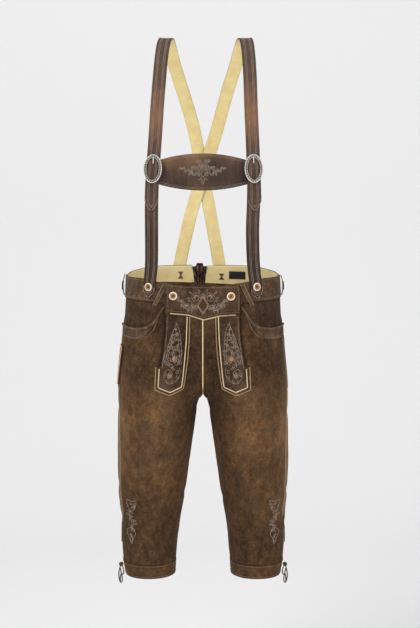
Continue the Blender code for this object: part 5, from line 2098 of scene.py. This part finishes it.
@dataclass
class BackLacing:
    """Pleated triangle and laced thong at the centre back notch, bar tacks and blank label.

    Attributes:
        middle: x of the notch's middle.
        pleat: Distance from one pleat to the next.
        tacks: Middle of each bar tack inside the band, its half width and half height.
        crossed: x from the middle and height of a thong from a top corner.
        lining: First and last x of the lining's edge on each side of the notch.
    """

    middle: float = -8.0
    pleat: float = 7.0
    tacks: Rows = ((-52, -15.5, 6, 7.5), (43, -19.5, 6, 6.5))
    crossed: Flat = ((-16.5, -0.5), (-8, -8), (0, -14.5), (7, -18.5), (11.5, -24))
    lining: tuple[tuple[int, int], ...] = ((-92, -20), (6, 78))

    def build(self, skin: Drape) -> None:
        """Builds them.

        Args:
            skin: Skin of the trousers.
        """
        gore = Shell("back_gusset", "back_gore", "gore", "gore", levels=4, creased=False,
                     grade=self.grade, move=self.fold).build()
        fan = Drape(gore)
        thongs = [[fan.close(Vector((self.middle + half * x, 110, z)) * MM, 1.0)
                   for x, z in spread(self.crossed, 2.5)] for half in (1, -1)]
        enrol(tube("back_thong_crossing", thongs, 2.1, "lace", 2), Slot.THONG)
        edges = [[self.inner(skin, x, lining_edge(LINED, x)) for x in range(first, last + 1, 6)]
                 for first, last in self.lining]
        trim("lining_edge", edges, 0.9, "piping")
        Shell("back_lace", "back_thong", "lace", "lace", levels=1, creased=False,
              slot=Slot.THONG).build()
        Shell("label", "blank_label", "label", "label", levels=1, creased=False,
              slot=Slot.LABEL).build()
        threads = []
        for x, z, wide, tall in self.tacks:
            for k in range(-4, 5):
                reach = 1.2 + (wide - 1.2) * abs(k) / 4
                threads.append([self.inner(skin, x + side * reach, z + tall * k / 4)
                                for side in (-1, 0, 1)])
        trim("back_tacks", threads, 0.75, "brown_thread")

    def share(self, point: Vector) -> float:
        """Place of a point among the pleats, which fan out from below, in pleats."""
        fan = 1 + (point.z / MM + 20) * 0.012
        return (point.x / MM - self.middle) / fan / self.pleat

    def fold(self, point: Vector) -> Vector:
        """Way that the pleats move a point of the triangle, whose top corners fall."""
        beside = ease((abs(point.x / MM - self.middle) - 6.5) / 3)
        fall = beside * max(point.z - 2 * MM, 0.0) * 0.75
        return Vector((0, 1.1 * MM * math.cos(math.tau * self.share(point)), -fall))

    def grade(self, point: Vector) -> float:
        """Tone of the triangle: painted shade between the pleats, and dark on the tab at its top.
        """
        tone = 0.5 - 0.3 * math.cos(math.tau * self.share(point))
        tab = ease((point.z / MM - 6.5) / 2) * ease((9 - abs(point.x / MM - self.middle)) / 2)
        return tone * (1 - tab) - 0.3 * tab

    @staticmethod
    def inner(skin: Drape, x: float, z: float) -> Vector:
        """Point just inside the back waistband, from the skin of the trousers."""
        start = Vector((x * MM, 0, z * MM))
        found = skin.shot(start, REARWARD, 0.2)
        return found or Vector((x * MM, 0.14, z * MM))


@dataclass
class HemTie:
    """Knot at the slit of a hem, and the two cord ends that hang from it.

    Attributes:
        side: Wearer's side.
        looped: Route of the cord that turns back to the knot, wearer's left.
        hanging: Route of the one that ends free.
        diameter: Diameter of a cord.
    """

    side: str
    looped: Rows = (
        (190.7, -12.7, -674.6), (192, -16.5, -680), (194, -18.5, -692), (192.5, -19, -706),
        (189, -18.5, -712.5), (186.1, -17, -707), (187.3, -15.6, -694), (189.5, -14.6, -685),
        (190.5, -11.9, -681),
    )
    hanging: Rows = (
        (187.4, 2.5, -674.2), (187.5, 7.8, -678.5), (184.8, 9.8, -687), (183.6, 9, -696),
        (186, 7.6, -700), (189, 5, -697), (190.5, 1.6, -700), (191.4, -1.5, -707),
        (191, -3, -714),
    )
    diameter: float = 2.8

    def build(self) -> None:
        half = SIDES[self.side]
        Shell(f"tie_knot_{self.side}", f"hem_knot_{self.side}", "thong", "thong",
              creased=False, slot=Slot.THONG).build()
        for which, route, end in (("long", self.looped, "object"),
                                  ("short", self.hanging, "bare")):
            path = [Vector((x * half, y, z)) * MM for x, y, z in smooth(route, 2.5)]
            cord = tube(f"hem_cord_{which}_{self.side}", [path], self.diameter / 2, "thong", 4)
            enrol(cord, Slot.THONG, f"tie_{which}_{self.side}")


# ---- studio ----
SENSOR = 36  # Height and width of the camera's sensor.


@dataclass
class Studio:
    """Camera, pale floor and backdrop, and soft lights.

    Attributes:
        camera_at: Place of the camera in metres.
        pitch: Downward tilt in radians.
        lens: Focal length.
        floor: Height of the floor.
        back: y of the backdrop's wall.
        bend: Radius of the bend between the floor and the wall.
        lamps: Name, place, place that it points at, side in metres and watts of each light.
        ambient: Strength of the white all round.
    """

    camera_at: Place = (0.016, -4.5, 0.533)
    pitch: float = math.atan(277 / 2000)
    lens: float = SENSOR * 2000 / 628
    floor: float = -1.05
    back: float = 2.6
    bend: float = 1.0
    lamps: tuple[tuple, ...] = (
        ("key", (-1.9, -2.4, 2.3), (0, 0, -0.05), 1.6, 60),
        ("fill", (2.3, -2.2, 0.9), (0, 0, 0), 2.0, 26),
        ("top", (0.0, -0.2, 2.7), (0, 0, 0), 1.8, 30),
        ("low", (0.4, -2.6, -0.6), (0, 0, -0.35), 1.6, 9),
    )
    ambient: float = 0.55

    def build(self) -> None:
        """Builds the studio."""
        data = bpy.data.cameras.new("camera")
        data.sensor_fit = "VERTICAL"
        data.sensor_height = data.sensor_width = SENSOR
        data.lens = self.lens
        data.clip_end = 50
        camera = placed("camera", data)
        camera.location = self.camera_at
        camera.rotation_euler = (math.pi / 2 - self.pitch, 0, 0)
        bpy.context.scene.camera = camera
        self.backdrop()
        for lamp in self.lamps:
            self.light(*lamp)
        world = bpy.data.worlds.new("studio")
        world.use_nodes = True
        fill(world.node_tree.nodes["Background"], Color=(1, 1, 1, 1), Strength=self.ambient)
        bpy.context.scene.world = world
        bpy.context.scene.view_settings.view_transform = "Standard"

    def backdrop(self) -> None:
        """Floor that bends up into the backdrop, seen only from its front."""
        bm = bmesh.new()
        edge = self.back - self.bend
        profile = [(-6.0, self.floor), (edge, self.floor)]
        profile += [(edge + self.bend * math.sin(a), self.floor + self.bend * (1 - math.cos(a)))
                    for a in (math.pi / 2 * k / 16 for k in range(1, 17))]
        profile.append((self.back, 5.0))
        rows = [[bm.verts.new((x, y, z)) for y, z in profile] for x in (-7.0, 7.0)]
        for i in range(len(profile) - 1):
            bm.faces.new((rows[0][i], rows[1][i], rows[1][i + 1], rows[0][i + 1])).smooth = True
        bm.normal_update()
        mesh = bpy.data.meshes.new("backdrop")
        bm.to_mesh(mesh)
        bm.free()
        paper = bpy.data.materials.new("pale_paper")
        paper.use_nodes = True
        nodes, links = paper.node_tree.nodes, paper.node_tree.links
        surface = fill(nodes["Principled BSDF"], Base_Color=(0.86, 0.86, 0.86, 1),
                       Roughness=0.9, Specular_IOR_Level=0.1)
        behind = nodes.new("ShaderNodeMixShader")
        links.new(nodes.new("ShaderNodeNewGeometry").outputs["Backfacing"], behind.inputs[0])
        links.new(surface.outputs["BSDF"], behind.inputs[1])
        links.new(nodes.new("ShaderNodeBsdfTransparent").outputs["BSDF"], behind.inputs[2])
        links.new(behind.outputs["Shader"], nodes["Material Output"].inputs["Surface"])
        mesh.materials.append(paper)
        placed("backdrop", mesh)

    @staticmethod
    def light(name: str, place: Place, aim: Place, size: float, power: float) -> None:
        """Adds a soft area light.

        Args:
            name: Its name.
            place: Where it stands.
            aim: Where it points.
            size: Side of its square in metres.
            power: In watts.
        """
        data = bpy.data.lights.new(name, "AREA")
        data.size = size
        data.energy = power
        lamp = placed(name, data)
        lamp.location = place
        towards = Vector(aim) - Vector(place)
        lamp.rotation_euler = towards.to_track_quat("-Z", "Y").to_euler()


def main() -> None:
    """Builds and dresses every sub-assembly."""
    logging.basicConfig(level=logging.INFO, format="%(message)s")
    Studio().build()
    for side in SIDES:
        HemTie(side).build()
    trousers = Trousers()
    trousers.build()
    flap = Flap()
    flap.build()
    flap.centre()
    for side in SIDES:
        Tongue(side).build()
    for brace in BRACES:
        brace.build()
    ChestBar().build()
    for part in ("bib_button", "brace_button_front", "brace_button_back"):
        for side in SIDES:
            Button(f"{part}_{side}", f"horn_{part}_{side}").build()
    for side, top, bottom in (("right", (84, -9), (102, -46)), ("left", (87, -9), (105, -46))):
        Loop(f"front_loop_{side}", SIDES[side], top, bottom, 9.5, 0.0, 0.26).build()
        Loop(f"side_loop_{side}", SIDES[side], (180, 1), (180, -46), 11.0, -0.32).build()
    BackLacing().build(trousers.skin)


if __name__ == "__main__":
    main()
